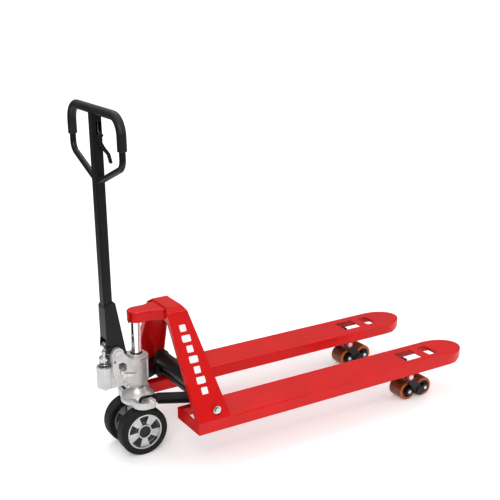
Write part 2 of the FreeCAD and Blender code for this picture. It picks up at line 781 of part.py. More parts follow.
def make_roller_link():
    """Two plates on a cross tube: one arm down to the bogie, one up to the push rod's pin."""
    outer = link_plate_inner + link_plate
    pivot = (link_pin_x, link_pin_z)
    pieces = []
    for y0, y1 in ((link_plate_inner, outer), (-outer, -link_plate_inner)):
        pieces.append(bar(pivot, link_eye_radius, (bogie_x, roller_z), link_eye_radius + 1, fork_y + y0,
                          fork_y + y1))
        pieces.append(bar(pivot, link_eye_radius, (rod_pin_x, rod_pin_z), link_top_eye_radius,
                          fork_y + y0, fork_y + y1))
    reach = fork_half - sheet - lug_thickness - 0.8
    tube = cylinder_y(link_pin_x, link_pin_z, link_tube_radius, fork_y - reach, fork_y + reach)
    top_pin = cylinder_y(rod_pin_x, rod_pin_z, crank_pin_radius, fork_y - outer - 3, fork_y + outer + 3)
    link = fuse(tube, top_pin, *pieces)
    link = link.cut(cylinder_y(link_pin_x, link_pin_z, link_pin_radius + running_clearance, 0,
                               overall_width))
    return link.cut(cylinder_y(bogie_x, roller_z, bogie_pin_radius + running_clearance, 0, overall_width))


def make_bogie_pin():
    """The two stub pins of the left bogie, each with a round cap outside the link plate."""
    outer = link_plate_inner + link_plate + face_gap
    stubs = []
    for side in (-1, 1):
        ends = sorted((side * bogie_plate_inner, side * outer))
        cap = sorted((side * outer, side * (outer + 4)))
        stub = cylinder_y(bogie_x, roller_z, bogie_pin_radius, fork_y + ends[0], fork_y + ends[1])
        disc = cylinder_y(bogie_x, roller_z, bogie_cap_radius, fork_y + cap[0], fork_y + cap[1])
        stubs.append(fuse(stub, disc))
    return stubs


def make_bogie_plates():
    """Two plates, each with a boss in the middle and a round end at each axle."""
    plates = []
    half = roller_pitch / 2
    outer = bogie_plate_inner + bogie_plate
    for low, high in ((fork_y + bogie_plate_inner, fork_y + outer),
                      (fork_y - outer, fork_y - bogie_plate_inner)):
        plate = box(bogie_x - half, bogie_x + half, low, high, roller_z - bogie_waist,
                    roller_z + bogie_waist)
        boss = cylinder_y(bogie_x, roller_z, bogie_boss_radius, low, high)
        ends = [cylinder_y(bogie_x + s * half, roller_z, bogie_end_radius, low, high) for s in (-1, 1)]
        plate = fuse(plate, boss, *ends)
        plate = plate.cut(cylinder_y(bogie_x, roller_z, bogie_pin_radius + running_clearance, 0,
                                     overall_width))
        for s in (-1, 1):
            plate = plate.cut(cylinder_y(bogie_x + s * half, roller_z, roller_axle_radius, 0,
                                         overall_width))
        plates.append(plate)
    return plates


def make_roller_axles():
    reach = bogie_plate_inner + bogie_plate + 1.4
    axles = []
    for s in (-1, 1):
        axle = cylinder_y(bogie_x + s * roller_pitch / 2, roller_z, roller_axle_radius, fork_y - reach,
                          fork_y + reach)
        axles.append(chamfer_where(axle, 1.0, is_circle))
    return axles


def make_load_roller_tyre(x):
    half = roller_width / 2
    tyre = tube_y(x, roller_z, roller_radius, roller_radius - roller_tyre_thickness, fork_y - half,
                  fork_y + half)
    return fillet_where(tyre, 3.0, lambda e: is_circle(e) and is_near(e.Curve.Radius, roller_radius))


def make_load_roller_hub(x):
    half = roller_width / 2
    radius = roller_radius - roller_tyre_thickness
    hub = cylinder_y(x, roller_z, radius, fork_y - half - 0.8, fork_y + half + 0.8)
    for side in (-1, 1):
        ends = sorted((fork_y + side * (half - 5), fork_y + side * (half + 2)))
        hub = hub.cut(tube_y(x, roller_z, radius - 3.5, roller_axle_radius + 6, ends[0], ends[1]))
    nose = cylinder_y(x, roller_z, roller_axle_radius + 4, fork_y - bogie_plate_inner + 0.4,
                      fork_y + bogie_plate_inner - 0.4)
    return fuse(hub, nose).cut(cylinder_y(x, roller_z, roller_axle_radius + running_clearance, 0,
                                          overall_width))


# ---------------------------------------------------------------- steer wheels
def make_wheel_tyre():
    outer_y = wheel_inner_y + wheel_width
    tyre = tube_y(axle_x, wheel_z, wheel_radius, wheel_rim_radius, wheel_inner_y, outer_y)
    return fillet_where(tyre, 8.0, lambda e: is_circle(e) and is_near(e.Curve.Radius, wheel_radius))


def make_wheel_hub():
    """An aluminium centre: a rim, a boss, a thin disc and five spokes that widen towards the rim."""
    low = wheel_inner_y + 1
    high = wheel_inner_y + wheel_width - 1
    middle_y = (low + high) / 2
    rim = tube_y(axle_x, wheel_z, wheel_rim_radius, wheel_rim_radius - rim_thickness, low, high)
    boss = cylinder_y(axle_x, wheel_z, wheel_boss_radius, low, high)
    disc = cylinder_y(axle_x, wheel_z, wheel_rim_radius - 1, middle_y - 3, middle_y + 3)
    spoke_low = low + 5
    spoke_high = high - 5
    root = wheel_boss_radius - 4
    tip = wheel_rim_radius - rim_thickness + 1
    outline = [(root, -9), (tip, -19), (tip, 19), (root, 9)]
    spokes = []
    for i in range(spoke_count):
        turn = 90 + 360 / spoke_count * i
        spoke = prism_y([(axle_x + r, wheel_z + w) for r, w in outline], spoke_low, spoke_high)
        spokes.append(turned_y(spoke, axle_x, wheel_z, -turn))
    hub = fuse(rim, boss, disc, *spokes)
    hub = hub.cut(cylinder_y(axle_x, wheel_z, bearing_radius + running_clearance, low - 1, high + 1))
    return hub.cut(cylinder_y(axle_x, wheel_z, wheel_cap_radius + face_gap, high - 9, high + 1))


def make_steer_bearing():
    """Two ball bearings of the left wheel, drawn as plain rings on the axle."""
    first = wheel_inner_y + 3
    second = wheel_inner_y + wheel_width - 11 - bearing_width
    rings = []
    for y in (first, second):
        rings.append(tube_y(axle_x, wheel_z, bearing_radius, axle_radius, y, y + bearing_width))
    return rings


def make_steer_axle():
    reach = wheel_inner_y + wheel_width - 8
    axle = cylinder_y(axle_x, wheel_z, axle_radius, -reach, reach)
    return chamfer_where(axle, 1.5, is_circle)


def make_axle_cap():
    start = wheel_inner_y + wheel_width - 8
    cap = cylinder_y(axle_x, wheel_z, wheel_cap_radius, start, start + 6)
    outer = start + 6
    cap = fillet_where(cap, 2.0, lambda e: is_circle(e) and is_near(middle_of(e).y, outer))
    return cap.cut(cylinder_y(axle_x, wheel_z, wheel_cap_radius - 8, outer - 1.5, outer + 1))


# ---------------------------------------------------------------- pump
def make_pump_ear():
    """The left side plate: handle boss, web to the cylinder, six-sided opening and lower lug."""
    boss_left = handle_pivot_x - ear_radius
    plate = prism_y(
        [(boss_left, handle_pivot_z), (boss_left, 330), (-104, 300), (-74, 268), (-58, 258), (-30, 258),
         (-6, cylinder_bottom_z + 14), (-6, 356), (-36, 361), (-56, 377),
         (handle_pivot_x + 14, handle_pivot_z + 15),
         (handle_pivot_x, handle_pivot_z)],
        ear_inner_y, ear_outer_y)
    boss = cylinder_y(handle_pivot_x, handle_pivot_z, ear_radius, ear_inner_y, ear_outer_y)
    plate = fuse(plate, boss)
    opening = prism_y([(-87, 354), (-72, 357), (-58, 346), (-58, 326), (-70, 321), (-87, 336)],
                      ear_inner_y - 1, ear_outer_y + 1)
    small_hole = cylinder_y(-101, 364, 4.0, ear_inner_y - 1, ear_outer_y + 1)
    return plate.cut(opening).cut(small_hole)


def make_pump_casting():
    """The casting: cylinder, spindle, axle block, side plates and the cup for the hand plunger."""
    cylinder = cylinder_z(0, 0, cylinder_radius, cylinder_bottom_z, cylinder_top_z)
    neck_z = carrier_dome_top_z + thrust_bearing_thickness + face_gap
    neck = cylinder_z(0, 0, spindle_radius + 7, neck_z, cylinder_bottom_z + 1)
    spindle = cylinder_z(0, 0, spindle_radius, wheel_z + 60, cylinder_bottom_z + 1)
    block = box(axle_x - 22, spindle_radius - 2, -spindle_radius, spindle_radius, wheel_z, wheel_z + 88)
    block = fillet_where(block, 8.0, lambda e: is_near(e.Length, 88))
    axle_boss = cylinder_y(axle_x, wheel_z, 24.0, 2 - wheel_inner_y, wheel_inner_y - 2)
    axle_nose = cylinder_y(axle_x, wheel_z, 14.0, -wheel_inner_y - 3, wheel_inner_y + 3)
    ear = make_pump_ear()
    bridge = box(plunger_x + 8, -20, -ear_inner_y, ear_inner_y, housing_bottom_z, 322)
    sides = [math.radians(22.5 + 45 * i) for i in range(8)]
    reach = (housing_radius - 1) / math.cos(math.radians(22.5))
    cup = polygon_face([V(plunger_x + reach * math.cos(a), reach * math.sin(a),
                          housing_bottom_z) for a in sides])
    cup = cup.extrude(V(0, 0, housing_top_z - housing_rim - housing_bottom_z))
    cup = cup.common(cylinder_z(plunger_x, 0, housing_radius, 0, housing_top_z))
    rim = cylinder_z(plunger_x, 0, housing_radius, housing_top_z - housing_rim, housing_top_z)
    plug_seat = cylinder_z(plunger_x, 0, plug_radius + 5, housing_bottom_z - 6, housing_bottom_z + 1)
    lugs = [cylinder_y(x, z, 9.0, -ear_outer_y - 1, ear_outer_y + 1) for x, z in ((-56, 264), (-70, 278))]
    pipe = cylinder_z(33.5, -19.0, 3.2, cylinder_bottom_z + 18, cylinder_top_z - 8)
    body = fuse(cylinder, neck, spindle, block, axle_boss, axle_nose, ear, mirrored(ear), bridge, cup, rim,
                plug_seat, pipe, *lugs)
    body = body.cut(tube_z(plunger_x, 0, housing_bore, guide_radius, housing_floor_z, guide_top_z))
    body = body.cut(cylinder_z(plunger_x, 0, housing_bore, guide_top_z, housing_top_z + 1))
    body = body.cut(cylinder_z(plunger_x, 0, plunger_radius + running_clearance, housing_bottom_z - 7,
                               housing_top_z))
    body = body.cut(cylinder_z(0, 0, cap_radius + face_gap, cylinder_top_z, cylinder_top_z + ear_radius))
    body = body.cut(cylinder_z(0, 0, cylinder_bore, cylinder_floor_z, cylinder_top_z + 1))
    body = body.cut(cylinder_y(axle_x, wheel_z, axle_radius, -overall_width, overall_width))
    body = body.cut(cylinder_y(handle_pivot_x, handle_pivot_z, handle_pin_radius, -overall_width,
                               overall_width))
    valve_bore = cylinder_y(valve_x, valve_z, valve_shaft_radius + running_clearance, -overall_width, 0)
    return body.cut(valve_bore)


def make_cylinder_cap():
    """The flange and the slotted gland nut that guide the ram."""
    flange = cylinder_z(0, 0, cap_radius, cylinder_top_z, cylinder_top_z + cap_flange)
    flange = fillet_where(flange, 2.0, is_circle)
    top = cylinder_top_z + cap_flange + gland_height
    gland = cylinder_z(0, 0, gland_radius, cylinder_top_z + cap_flange - 1, top)
    gland = chamfer_where(gland, 1.5, lambda e: is_circle(e) and is_near(middle_of(e).z, top))
    cap = fuse(flange, gland)
    for i in range(4):
        slot = box(gland_radius - 4, gland_radius + 2, -3, 3, top - 5, top + 1)
        slot.rotate(V(0, 0, 0), V(0, 0, 1), 45 + 90 * i)
        cap = cap.cut(slot)
    return cap.cut(cylinder_z(0, 0, rod_radius + running_clearance, cylinder_top_z - 1, top + 1))


def make_pump_screws():
    """The handle's pivot pin with its heads, the plug under the plunger and the small screws."""
    pin = cylinder_y(handle_pivot_x, handle_pivot_z, handle_pin_radius, -ear_outer_y - 1, ear_outer_y + 1)
    heads = []
    for side in (-1, 1):
        ends = sorted((side * ear_outer_y, side * (ear_outer_y + 2.5)))
        heads.append(tube_y(handle_pivot_x, handle_pivot_z, 13.0, 6.0, ends[0], ends[1]))
    plug = hexagon_z(plunger_x, 0, plug_radius, plug_bottom_z, housing_bottom_z - 6)
    plug = plug.cut(cylinder_z(plunger_x, 0, plunger_radius + running_clearance, plunger_bore_bottom_z,
                               housing_bottom_z))
    screws = []
    for x, z in ((-56, 264), (-70, 278)):
        screws.append(hexagon_y(x, z, 5.5, -ear_outer_y - 5, -ear_outer_y - 1))
    pipe_screw = cylinder_z(33.5, -19.0, 4.5, cylinder_top_z - 8, cylinder_top_z - 3)
    return [fuse(pin, *heads), plug, pipe_screw.cut(cylinder_z(0, 0, cylinder_radius, 0,
                                                               cylinder_top_z))] + screws


def make_plunger():
    """The hand plunger: a stem, a wide spring cap and a domed top under the press roller."""
    stem = cylinder_z(plunger_x, 0, plunger_radius, plunger_bottom_z, plunger_top_z - 4)
    low = spring_cap_bottom_z
    mid = low + spring_cap_thickness * 0.6
    cap = cylinder_z(plunger_x, 0, spring_cap_radius, low, mid)
    cap = fillet_where(cap, 2.5, is_circle)
    shoulder = Part.makeCone(spring_cap_radius - 3, plunger_radius + 2, low + spring_cap_thickness - mid,
                             V(plunger_x, 0, mid), V(0, 0, 1))
    head = cylinder_z(plunger_x, 0, plunger_radius + 1.5, low, plunger_top_z)
    head = fillet_where(head, 3.0, lambda e: is_circle(e) and is_near(middle_of(e).z, plunger_top_z))
    return fuse(stem, cap, shoulder, head)


def make_plunger_spring():
    """A helix of round wire between the floor of the cup and the cap of the plunger."""
    low = housing_floor_z + spring_wire_radius + 0.1
    height = spring_cap_bottom_z - spring_wire_radius - 0.1 - low
    helix = Part.makeHelix(height / spring_turns, height, spring_coil_radius)
    wire = Part.Wire([Part.makeCircle(spring_wire_radius, V(spring_coil_radius, 0, 0), V(0, 1, 0))])
    spring = Part.Wire(helix).makePipeShell([wire], True, True)
    spring.translate(V(plunger_x, 0, low))
    return spring


def make_release_lever():
    """The small bright lever on the valve shaft, outside the right side plate."""
    outer = -ear_outer_y - face_gap
    shaft = cylinder_y(valve_x, valve_z, valve_shaft_radius, -ear_outer_y - 2, -ear_inner_y + 4)
    hub = cylinder_y(valve_x, valve_z, 9.0, outer - 7, outer)
    arm = bar((valve_x, valve_z), 8.0, (valve_x + 38, valve_z - 5), 4.5, outer - 5.5, outer - 1)
    tail = bar((valve_x, valve_z), 8.0, (valve_x - 11, valve_z + 15), 5.0, outer - 5.5, outer - 1)
    return fuse(shaft, hub, arm, tail)


# ---------------------------------------------------------------- handle
def leaned(shape):
    return turned_y(shape, handle_pivot_x, handle_pivot_z, handle_lean)


def rounded_column(inset, z0, z1):
    half_depth = tube_depth / 2 - inset
    half_width = tube_width / 2 - inset
    column = box(tube_x - half_depth, tube_x + half_depth, -half_width, half_width, z0, z1)
    height = z1 - z0
    return fillet_where(column, tube_corner - inset, lambda e: is_near(e.Length, height))


def make_handle_tube():
    """The rectangular column, with slots on its right side for the control lever's peg and pin."""
    column = rounded_column(0, tube_bottom_z, loop_top_z)
    tube = column.cut(rounded_column(tube_wall, tube_bottom_z - 1, loop_top_z - grip_radius - tube_wall))
    tube = tube.cut(cylinder_y(tube_x, loop_top_z, grip_radius, -overall_width, overall_width))
    right = -tube_width / 2
    tube = tube.cut(box(side_window_rear_x, side_window_front_x, right - 1, right + tube_wall + 2,
                        side_window_low_z, side_window_top_z))
    peg_x = lever_x + lever_reach
    tube = tube.cut(box(peg_x - lever_peg_radius - 3, side_window_front_x, right - 1, right + tube_wall + 2,
                        lever_z - lever_peg_radius - 2, side_window_low_z + 1))
    return tube.cut(cylinder_y(lever_x, lever_z, lever_pin_radius, -overall_width, overall_width))


def make_handle_bracket():
    """A folded bracket round the foot of the column, open at the bottom and low at the back."""
    side = [(bracket_rear_x, bracket_top_z - 18), (bracket_rear_x + 6, bracket_top_z - 12),
            (bracket_top_front_x - 6, bracket_top_z), (bracket_top_front_x, bracket_top_z - 5),
            (bracket_low_front_x, bracket_low_z + 6), (bracket_low_front_x - 8, bracket_low_z),
            (handle_pivot_x - 10, bracket_low_z - 2), (bracket_rear_x - 3, bracket_low_z + 36),
            (bracket_rear_x - 3, bracket_low_z + 52), (bracket_rear_x, bracket_low_z + 70)]
    shell = prism_y(side, -bracket_half_width, bracket_half_width)
    inner = bracket_half_width - bracket_sheet
    front = bracket_low_front_x - bracket_sheet - 1
    hollow = [(bracket_rear_x + bracket_sheet, bracket_top_z + 5),
              (bracket_top_front_x - bracket_sheet, bracket_top_z + 5),
              (bracket_top_front_x - bracket_sheet, bracket_top_z - 6), (front, bracket_low_z + 6),
              (front, bracket_low_z - 30), (bracket_rear_x + bracket_sheet, bracket_low_z - 30)]
    shell = shell.cut(prism_y(hollow, -inner, inner))
    shell = shell.cut(box(bracket_rear_x - 10, bracket_rear_x + bracket_sheet + 1, -inner, inner,
                          bracket_low_z - 30, bracket_window_top_z))
    shell = shell.cut(box(handle_pivot_x, bracket_low_front_x + 20, -inner, inner, bracket_low_z - 30,
                          handle_pivot_z + 30))
    bosses = []
    for s in (-1, 1):
        ends = sorted((s * inner, s * (ear_inner_y - face_gap)))
        bosses.append(cylinder_y(handle_pivot_x, handle_pivot_z, 16.0, ends[0], ends[1]))
    shell = fuse(shell, *bosses)
    shell = shell.cut(rounded_column(0, tube_bottom_z, bracket_top_z + 10))
    shell = shell.cut(cylinder_y(handle_pivot_x, handle_pivot_z, handle_pin_radius + running_clearance,
                                 -overall_width, overall_width))
    return shell.cut(cylinder_y(press_roller_x, press_roller_z, press_pin_radius, -overall_width,
                                overall_width))


def rounded_path(points, radii):
    """A wire through (y, z) points in the plane of the loop, with an arc at each inner corner."""
    edges = []
    start = points[0]
    for before, corner, after, radius in zip(points, points[1:], points[2:], radii):
        a = V(0, before[0] - corner[0], before[1] - corner[1]).normalize()
        b = V(0, after[0] - corner[0], after[1] - corner[1]).normalize()
        half_angle = a.getAngle(b) / 2
        along = radius / math.tan(half_angle)
        centre_way = V(a + b).normalize()
        inner = radius / math.sin(half_angle) - radius
        tip = V(tube_x, corner[0], corner[1])
        first = tip + a * along
        last = tip + b * along
        edges.append(Part.makeLine(V(tube_x, start[0], start[1]), first))
        edges.append(Part.Arc(first, tip + centre_way * inner, last).toShape())
        start = (last.y, last.z)
    edges.append(Part.makeLine(V(tube_x, start[0], start[1]), V(tube_x, points[-1][0], points[-1][1])))
    return Part.Wire(edges)


def pipe_along(path, radius):
    first = path.Edges[0]
    start = first.valueAt(first.FirstParameter)
    direction = first.tangentAt(first.FirstParameter)
    ring = Part.Wire([Part.makeCircle(radius, start, direction)])
    return path.makePipeShell([ring], True, False)


def make_handle_loop():
    """One bent tube: up from the column's side, round the top and back down to the other side."""
    points = [(0, loop_join_z - 5), (-loop_half_width, loop_corner_z), (-loop_half_width, loop_top_z),
              (loop_half_width, loop_top_z), (loop_half_width, loop_corner_z), (0, loop_join_z - 5)]
    bends = [loop_low_bend, loop_top_bend, loop_top_bend, loop_low_bend]
    loop = pipe_along(rounded_path(points, bends), loop_tube_radius)
    loop = loop.cut(rounded_column(0, tube_bottom_z, loop_top_z - grip_radius - 1))
    return max(loop.Solids, key=lambda solid: solid.Volume)


def make_loop_grip():
    """The rubber sleeve over the crossbar of the loop and the upper half of its sides."""
    points = [(-loop_half_width, grip_end_z), (-loop_half_width, loop_top_z),
              (loop_half_width, loop_top_z), (loop_half_width, grip_end_z)]
    path = rounded_path(points, [loop_top_bend, loop_top_bend])
    sleeve = pipe_along(path, grip_radius)
    sleeve = fillet_where(sleeve, 3.0, lambda e: is_circle(e) and is_near(e.CenterOfMass.z, grip_end_z))
    return sleeve.cut(pipe_along(path, loop_tube_radius))


def make_press_roller():
    roller = tube_y(press_roller_x, press_roller_z, press_roller_radius,
                    press_pin_radius + running_clearance,
                    -press_roller_half_width, press_roller_half_width)
    return fillet_where(
        roller, 1.5, lambda e: is_circle(e) and is_near(e.Curve.Radius, press_roller_radius))


def make_handle_pins():
    """The press roller's pin and the control lever's pin, both fixed in the handle."""
    reach = ear_inner_y + 6
    roller_pin = cylinder_y(press_roller_x, press_roller_z, press_pin_radius, -reach, reach)
    roller_pin = chamfer_where(roller_pin, 1.0, is_circle)
    outer = -tube_width / 2 - face_gap - lever_sheet
    lever_pin = cylinder_y(lever_x, lever_z, lever_pin_radius, outer - 0.5, tube_width / 2 + 1.5)
    lever_head = cylinder_y(lever_x, lever_z, lever_pin_radius + 2, outer - 2.5, outer - 0.5)
    return [roller_pin, fuse(lever_pin, lever_head)]


def make_control_lever():
    """The finger lever on the right side: it turns on its pin and its peg lifts the pull rod."""
    outer = -tube_width / 2 - face_gap - lever_sheet
    inner = -tube_width / 2 - face_gap
    peg_x = lever_x + lever_reach
    peg_z = lever_z + 3.0
    points = [(lever_x, lever_z, 9.0), (lever_x + 5, lever_z - 20, 6.5), (lever_x + 19, lever_z - 43, 5.5),
              (lever_x + 33, lever_z - 62, 5.2), (lever_x + 39, lever_z - 88, 5.0)]
    pieces = [bar(a[:2], a[2], b[:2], b[2], outer, inner) for a, b in zip(points, points[1:])]
    pieces.append(bar((lever_x, lever_z), 9.0, (peg_x, peg_z), 5.5, outer, inner))
    pieces.append(cylinder_y(peg_x, peg_z, lever_peg_radius, outer + 1, -pull_rod_radius - 1.5))
    lever = fuse(*pieces)
    return lever.cut(cylinder_y(lever_x, lever_z, lever_pin_radius + running_clearance, outer - 1,
                                inner + 1))


def make_pull_rod():
    """The rod inside the column, with the hook that rests on the control lever's peg."""
    x = lever_x + lever_reach
    rod = cylinder_z(x, 0, pull_rod_radius, pull_rod_low_z, pull_rod_top_z)
    hook_z = lever_z + 3.0 + lever_peg_radius + face_gap
    hook = box(x - pull_rod_radius, x + pull_rod_radius, -tube_width / 2 + tube_wall + 5,
               pull_rod_radius, hook_z, hook_z + 5)
    foot = cylinder_z(x, 0, pull_rod_radius + 2, pull_rod_low_z, pull_rod_low_z + 14)
    return fuse(rod, hook, foot)


# ---------------------------------------------------------------- write the nodes
def write_frame():
    save_both("fork_blade", make_fork_blade())
    save_both("fork_heel", make_fork_heel())
    save_both("leg", make_leg())
    save("head_saddle", make_head_saddle())
    save("head_tongue", make_head_tongue())
    save_pair("head_gussets", make_head_gusset())
    save("piston_rod", make_piston_rod())
    save("rocker_shaft", cylinder_y(pivot_x, pivot_z, shaft_radius, -shaft_boss_outer_y,
                                    shaft_boss_outer_y))
    bolt = make_shaft_bolt()
    save("frame_bolts", bolt, mirrored(bolt), make_head_screw())
    save_pair("link_pins", make_link_pin())


def write_carrier():
    save("carrier_casting", make_carrier())
    save_pair("carrier_pins", make_carrier_pin())
    save("thrust_bearing", make_thrust_bearing())


def write_rocker():
    save("torsion_tube", make_torsion_tube())
    save_both("rocker_arm", make_rocker_arm())
    save_pair("rocker_cranks", make_rocker_crank())
    save_pair("crank_pins", make_crank_pin())


def write_roller_gear():
    save_both("push_rod", make_push_rod())
    save_both("roller_link", make_roller_link())
    for name, solids in (("bogie_pin", make_bogie_pin()), ("bogie_plates", make_bogie_plates()),
                         ("roller_axles", make_roller_axles())):
        save(name + "_left", *solids)
        save(name + "_right", *[mirrored(solid) for solid in solids])
    for place, offset in (("rear", -roller_pitch / 2), ("front", roller_pitch / 2)):
        save_both("roller_tyre_" + place, make_load_roller_tyre(bogie_x + offset))
        save_both("roller_hub_" + place, make_load_roller_hub(bogie_x + offset))


def write_pump():
    save("pump_casting", make_pump_casting())
    save("cylinder_cap", make_cylinder_cap())
    save("pump_screws", *make_pump_screws())
    save("plunger", make_plunger())
    save("plunger_spring", make_plunger_spring())
    save("release_lever", make_release_lever())
    save("steer_axle", make_steer_axle())
    save_pair("axle_caps", make_axle_cap())
    rings = make_steer_bearing()
    save("steer_bearings", *rings, *[mirrored(ring) for ring in rings])
    save_both("wheel_tyre", make_wheel_tyre())
    save_both("wheel_hub", make_wheel_hub())


def write_handle():
    save("handle_bracket", leaned(make_handle_bracket()))
    save("handle_tube", leaned(make_handle_tube()))
    save("handle_loop", leaned(make_handle_loop()))
    save("loop_grip", leaned(make_loop_grip()))
    save("press_roller", leaned(make_press_roller()))
    save("handle_pins", *[leaned(pin) for pin in make_handle_pins()])
    save("control_lever", leaned(make_control_lever()))
    save("pull_rod", leaned(make_pull_rod()))


def main():
    os.makedirs("parts", exist_ok=True)
    write_frame()
    write_carrier()
    write_rocker()
    write_roller_gear()
    write_pump()
    write_handle()


main()
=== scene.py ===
import json
import math

import bpy
import numpy as np
from mathutils import Matrix, Vector


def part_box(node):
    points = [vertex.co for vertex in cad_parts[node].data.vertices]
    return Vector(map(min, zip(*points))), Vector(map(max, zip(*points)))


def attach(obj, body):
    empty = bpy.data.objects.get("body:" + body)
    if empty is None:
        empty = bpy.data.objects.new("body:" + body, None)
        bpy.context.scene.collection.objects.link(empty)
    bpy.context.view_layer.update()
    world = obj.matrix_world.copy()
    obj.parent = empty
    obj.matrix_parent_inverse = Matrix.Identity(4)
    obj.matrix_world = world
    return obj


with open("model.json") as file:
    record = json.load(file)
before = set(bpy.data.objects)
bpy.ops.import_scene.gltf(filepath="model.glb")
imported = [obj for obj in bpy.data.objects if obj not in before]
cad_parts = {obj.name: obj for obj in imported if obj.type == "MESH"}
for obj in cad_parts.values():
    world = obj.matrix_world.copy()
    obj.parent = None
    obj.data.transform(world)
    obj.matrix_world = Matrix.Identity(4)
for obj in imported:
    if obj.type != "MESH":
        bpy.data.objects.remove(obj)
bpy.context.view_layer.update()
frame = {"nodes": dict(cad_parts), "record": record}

bl_info = {
    "name": "Hand pallet truck",
    "version": (1, 0, 0),
    "blender": (4, 5, 0),
    "location": "3D View > Sidebar > Truck",
    "description": "Finishes, welds and small fittings of a hand pallet truck",
    "category": "Object",
}

SIDES = (("left", 1), ("right", -1))


def corners(node):
    """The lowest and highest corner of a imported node, as arrays."""
    low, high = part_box(node)
    return np.array(low, dtype=float), np.array(high, dtype=float)


def middle(node):
    low, high = corners(node)
    return (low + high) / 2


def joint(name):
    """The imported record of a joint."""
    return next(j for j in frame["record"]["behaviour"]["joints"] if j["name"] == name)


# ---------------------------------------------------------------- sizes and colours
class TruckSizes(bpy.types.PropertyGroup):
    bead_radius: bpy.props.FloatProperty(
        name="Bead radius", description="Half the width of a weld bead", default=0.0026, unit="LENGTH")
    bead_pitch: bpy.props.FloatProperty(
        name="Bead ripple", description="Distance between two ripples of a weld bead",
        default=0.0034, unit="LENGTH")
    bar_width: bpy.props.FloatProperty(
        name="Bar width", description="Width of a white bar across the leg", default=0.034, unit="LENGTH")
    bar_height: bpy.props.FloatProperty(
        name="Bar height", description="Size of a white bar along the leg", default=0.025, unit="LENGTH")
    bar_pitch: bpy.props.FloatProperty(
        name="Bar pitch", description="Distance between two white bars along the leg",
        default=0.038, unit="LENGTH")
    bar_count: bpy.props.IntProperty(
        name="Bars", description="Number of white bars on the right leg", default=7)
    spring_wire: bpy.props.FloatProperty(
        name="Spring wire", description="Wire diameter of the lever's return spring",
        default=0.0014, unit="LENGTH")
    seal_width: bpy.props.FloatProperty(
        name="Wiper width", description="Radial width of the ram's wiper ring",
        default=0.0045, unit="LENGTH")


class TruckColours(bpy.types.PropertyGroup):
    red: bpy.props.FloatVectorProperty(
        name="Red paint", description="Forks, legs and head", subtype="COLOR", size=3,
        default=(0.66, 0.004, 0.003))
    black: bpy.props.FloatVectorProperty(
        name="Black paint", description="Handle and rocker", subtype="COLOR", size=3,
        default=(0.0075, 0.0075, 0.0075))
    silver: bpy.props.FloatVectorProperty(
        name="Silver paint", description="Pump and carrier castings", subtype="COLOR", size=3,
        default=(0.64, 0.64, 0.635))
    tread: bpy.props.FloatVectorProperty(
        name="Roller tread", description="Load rollers", subtype="COLOR", size=3,
        default=(0.27, 0.062, 0.010))


class TruckStage(bpy.types.PropertyGroup):
    lens: bpy.props.FloatProperty(name="Lens", description="Focal length", default=67.2, unit="CAMERA")
    key_power: bpy.props.FloatProperty(
        name="Key light", description="Power of the key light", default=105.0)
    fill_power: bpy.props.FloatProperty(
        name="Fill light", description="Power of the fill light", default=42.0)
    world_strength: bpy.props.FloatProperty(
        name="Sky", description="Strength of the even light from above", default=0.62)
    horizon_strength: bpy.props.FloatProperty(
        name="Horizon", description="Strength of the light that comes from the sides", default=0.16)


# ---------------------------------------------------------------- shader expressions
class Socket:
    """An output of a node, with arithmetic that adds Math nodes."""

    def __init__(self, tree, out):
        self.tree = tree
        self.out = out

    def node(self, kind, settings=None, inputs=None, output=0):
        """Add any other node: its settings first, then the values or links of its sockets."""
        made = self.tree.nodes.new(kind)
        for name, value in (settings or {}).items():
            if name == "stops":
                ramp = made.color_ramp
                while len(ramp.elements) < len(value):
                    ramp.elements.new(0.5)
                for element, (place, colour) in zip(ramp.elements, value):
                    element.position = place
                    element.color = (*colour, 1.0)
            else:
                setattr(made, name, value)
        for name, value in (inputs or {}).items():
            plug(self.tree, made.inputs[name], value)
        return Socket(self.tree, made.outputs[output])

    def maths(self, operation, *values):
        inputs = {place: value for place, value in enumerate(values)}
        return self.node("ShaderNodeMath", {"operation": operation}, inputs)

    def __add__(self, other):
        return self.maths("ADD", self, other)

    __radd__ = __add__

    def __sub__(self, other):
        return self.maths("SUBTRACT", self, other)

    def __rsub__(self, other):
        return self.maths("SUBTRACT", other, self)

    def __mul__(self, other):
        return self.maths("MULTIPLY", self, other)

    __rmul__ = __mul__

    def __truediv__(self, other):
        return self.maths("DIVIDE", self, other)

    def __pow__(self, other):
        return self.maths("POWER", self, other)

    def step(self, low, high):
        """A smooth rise from 0 at low to 1 at high."""
        return self.node("ShaderNodeMapRange", {"interpolation_type": "SMOOTHSTEP"},
                         {"Value": self, "From Min": low, "From Max": high})

    def blend(self, first, second):
        """The first colour where this is 0 and the second where it is 1."""
        return self.node("ShaderNodeMix", {"data_type": "RGBA"}, {0: self, 6: first, 7: second}, 2)

    def part(self, axis):
        """One component of a vector."""
        return self.node("ShaderNodeSeparateXYZ", None, {0: self}, "XYZ".index(axis))


def plug(tree, target, value):
    if isinstance(value, Socket):
        tree.links.new(value.out, target)
    elif target.type == "RGBA" and not isinstance(value, (int, float)):
        target.default_value = (*value[:3], 1.0)
    else:
        target.default_value = value


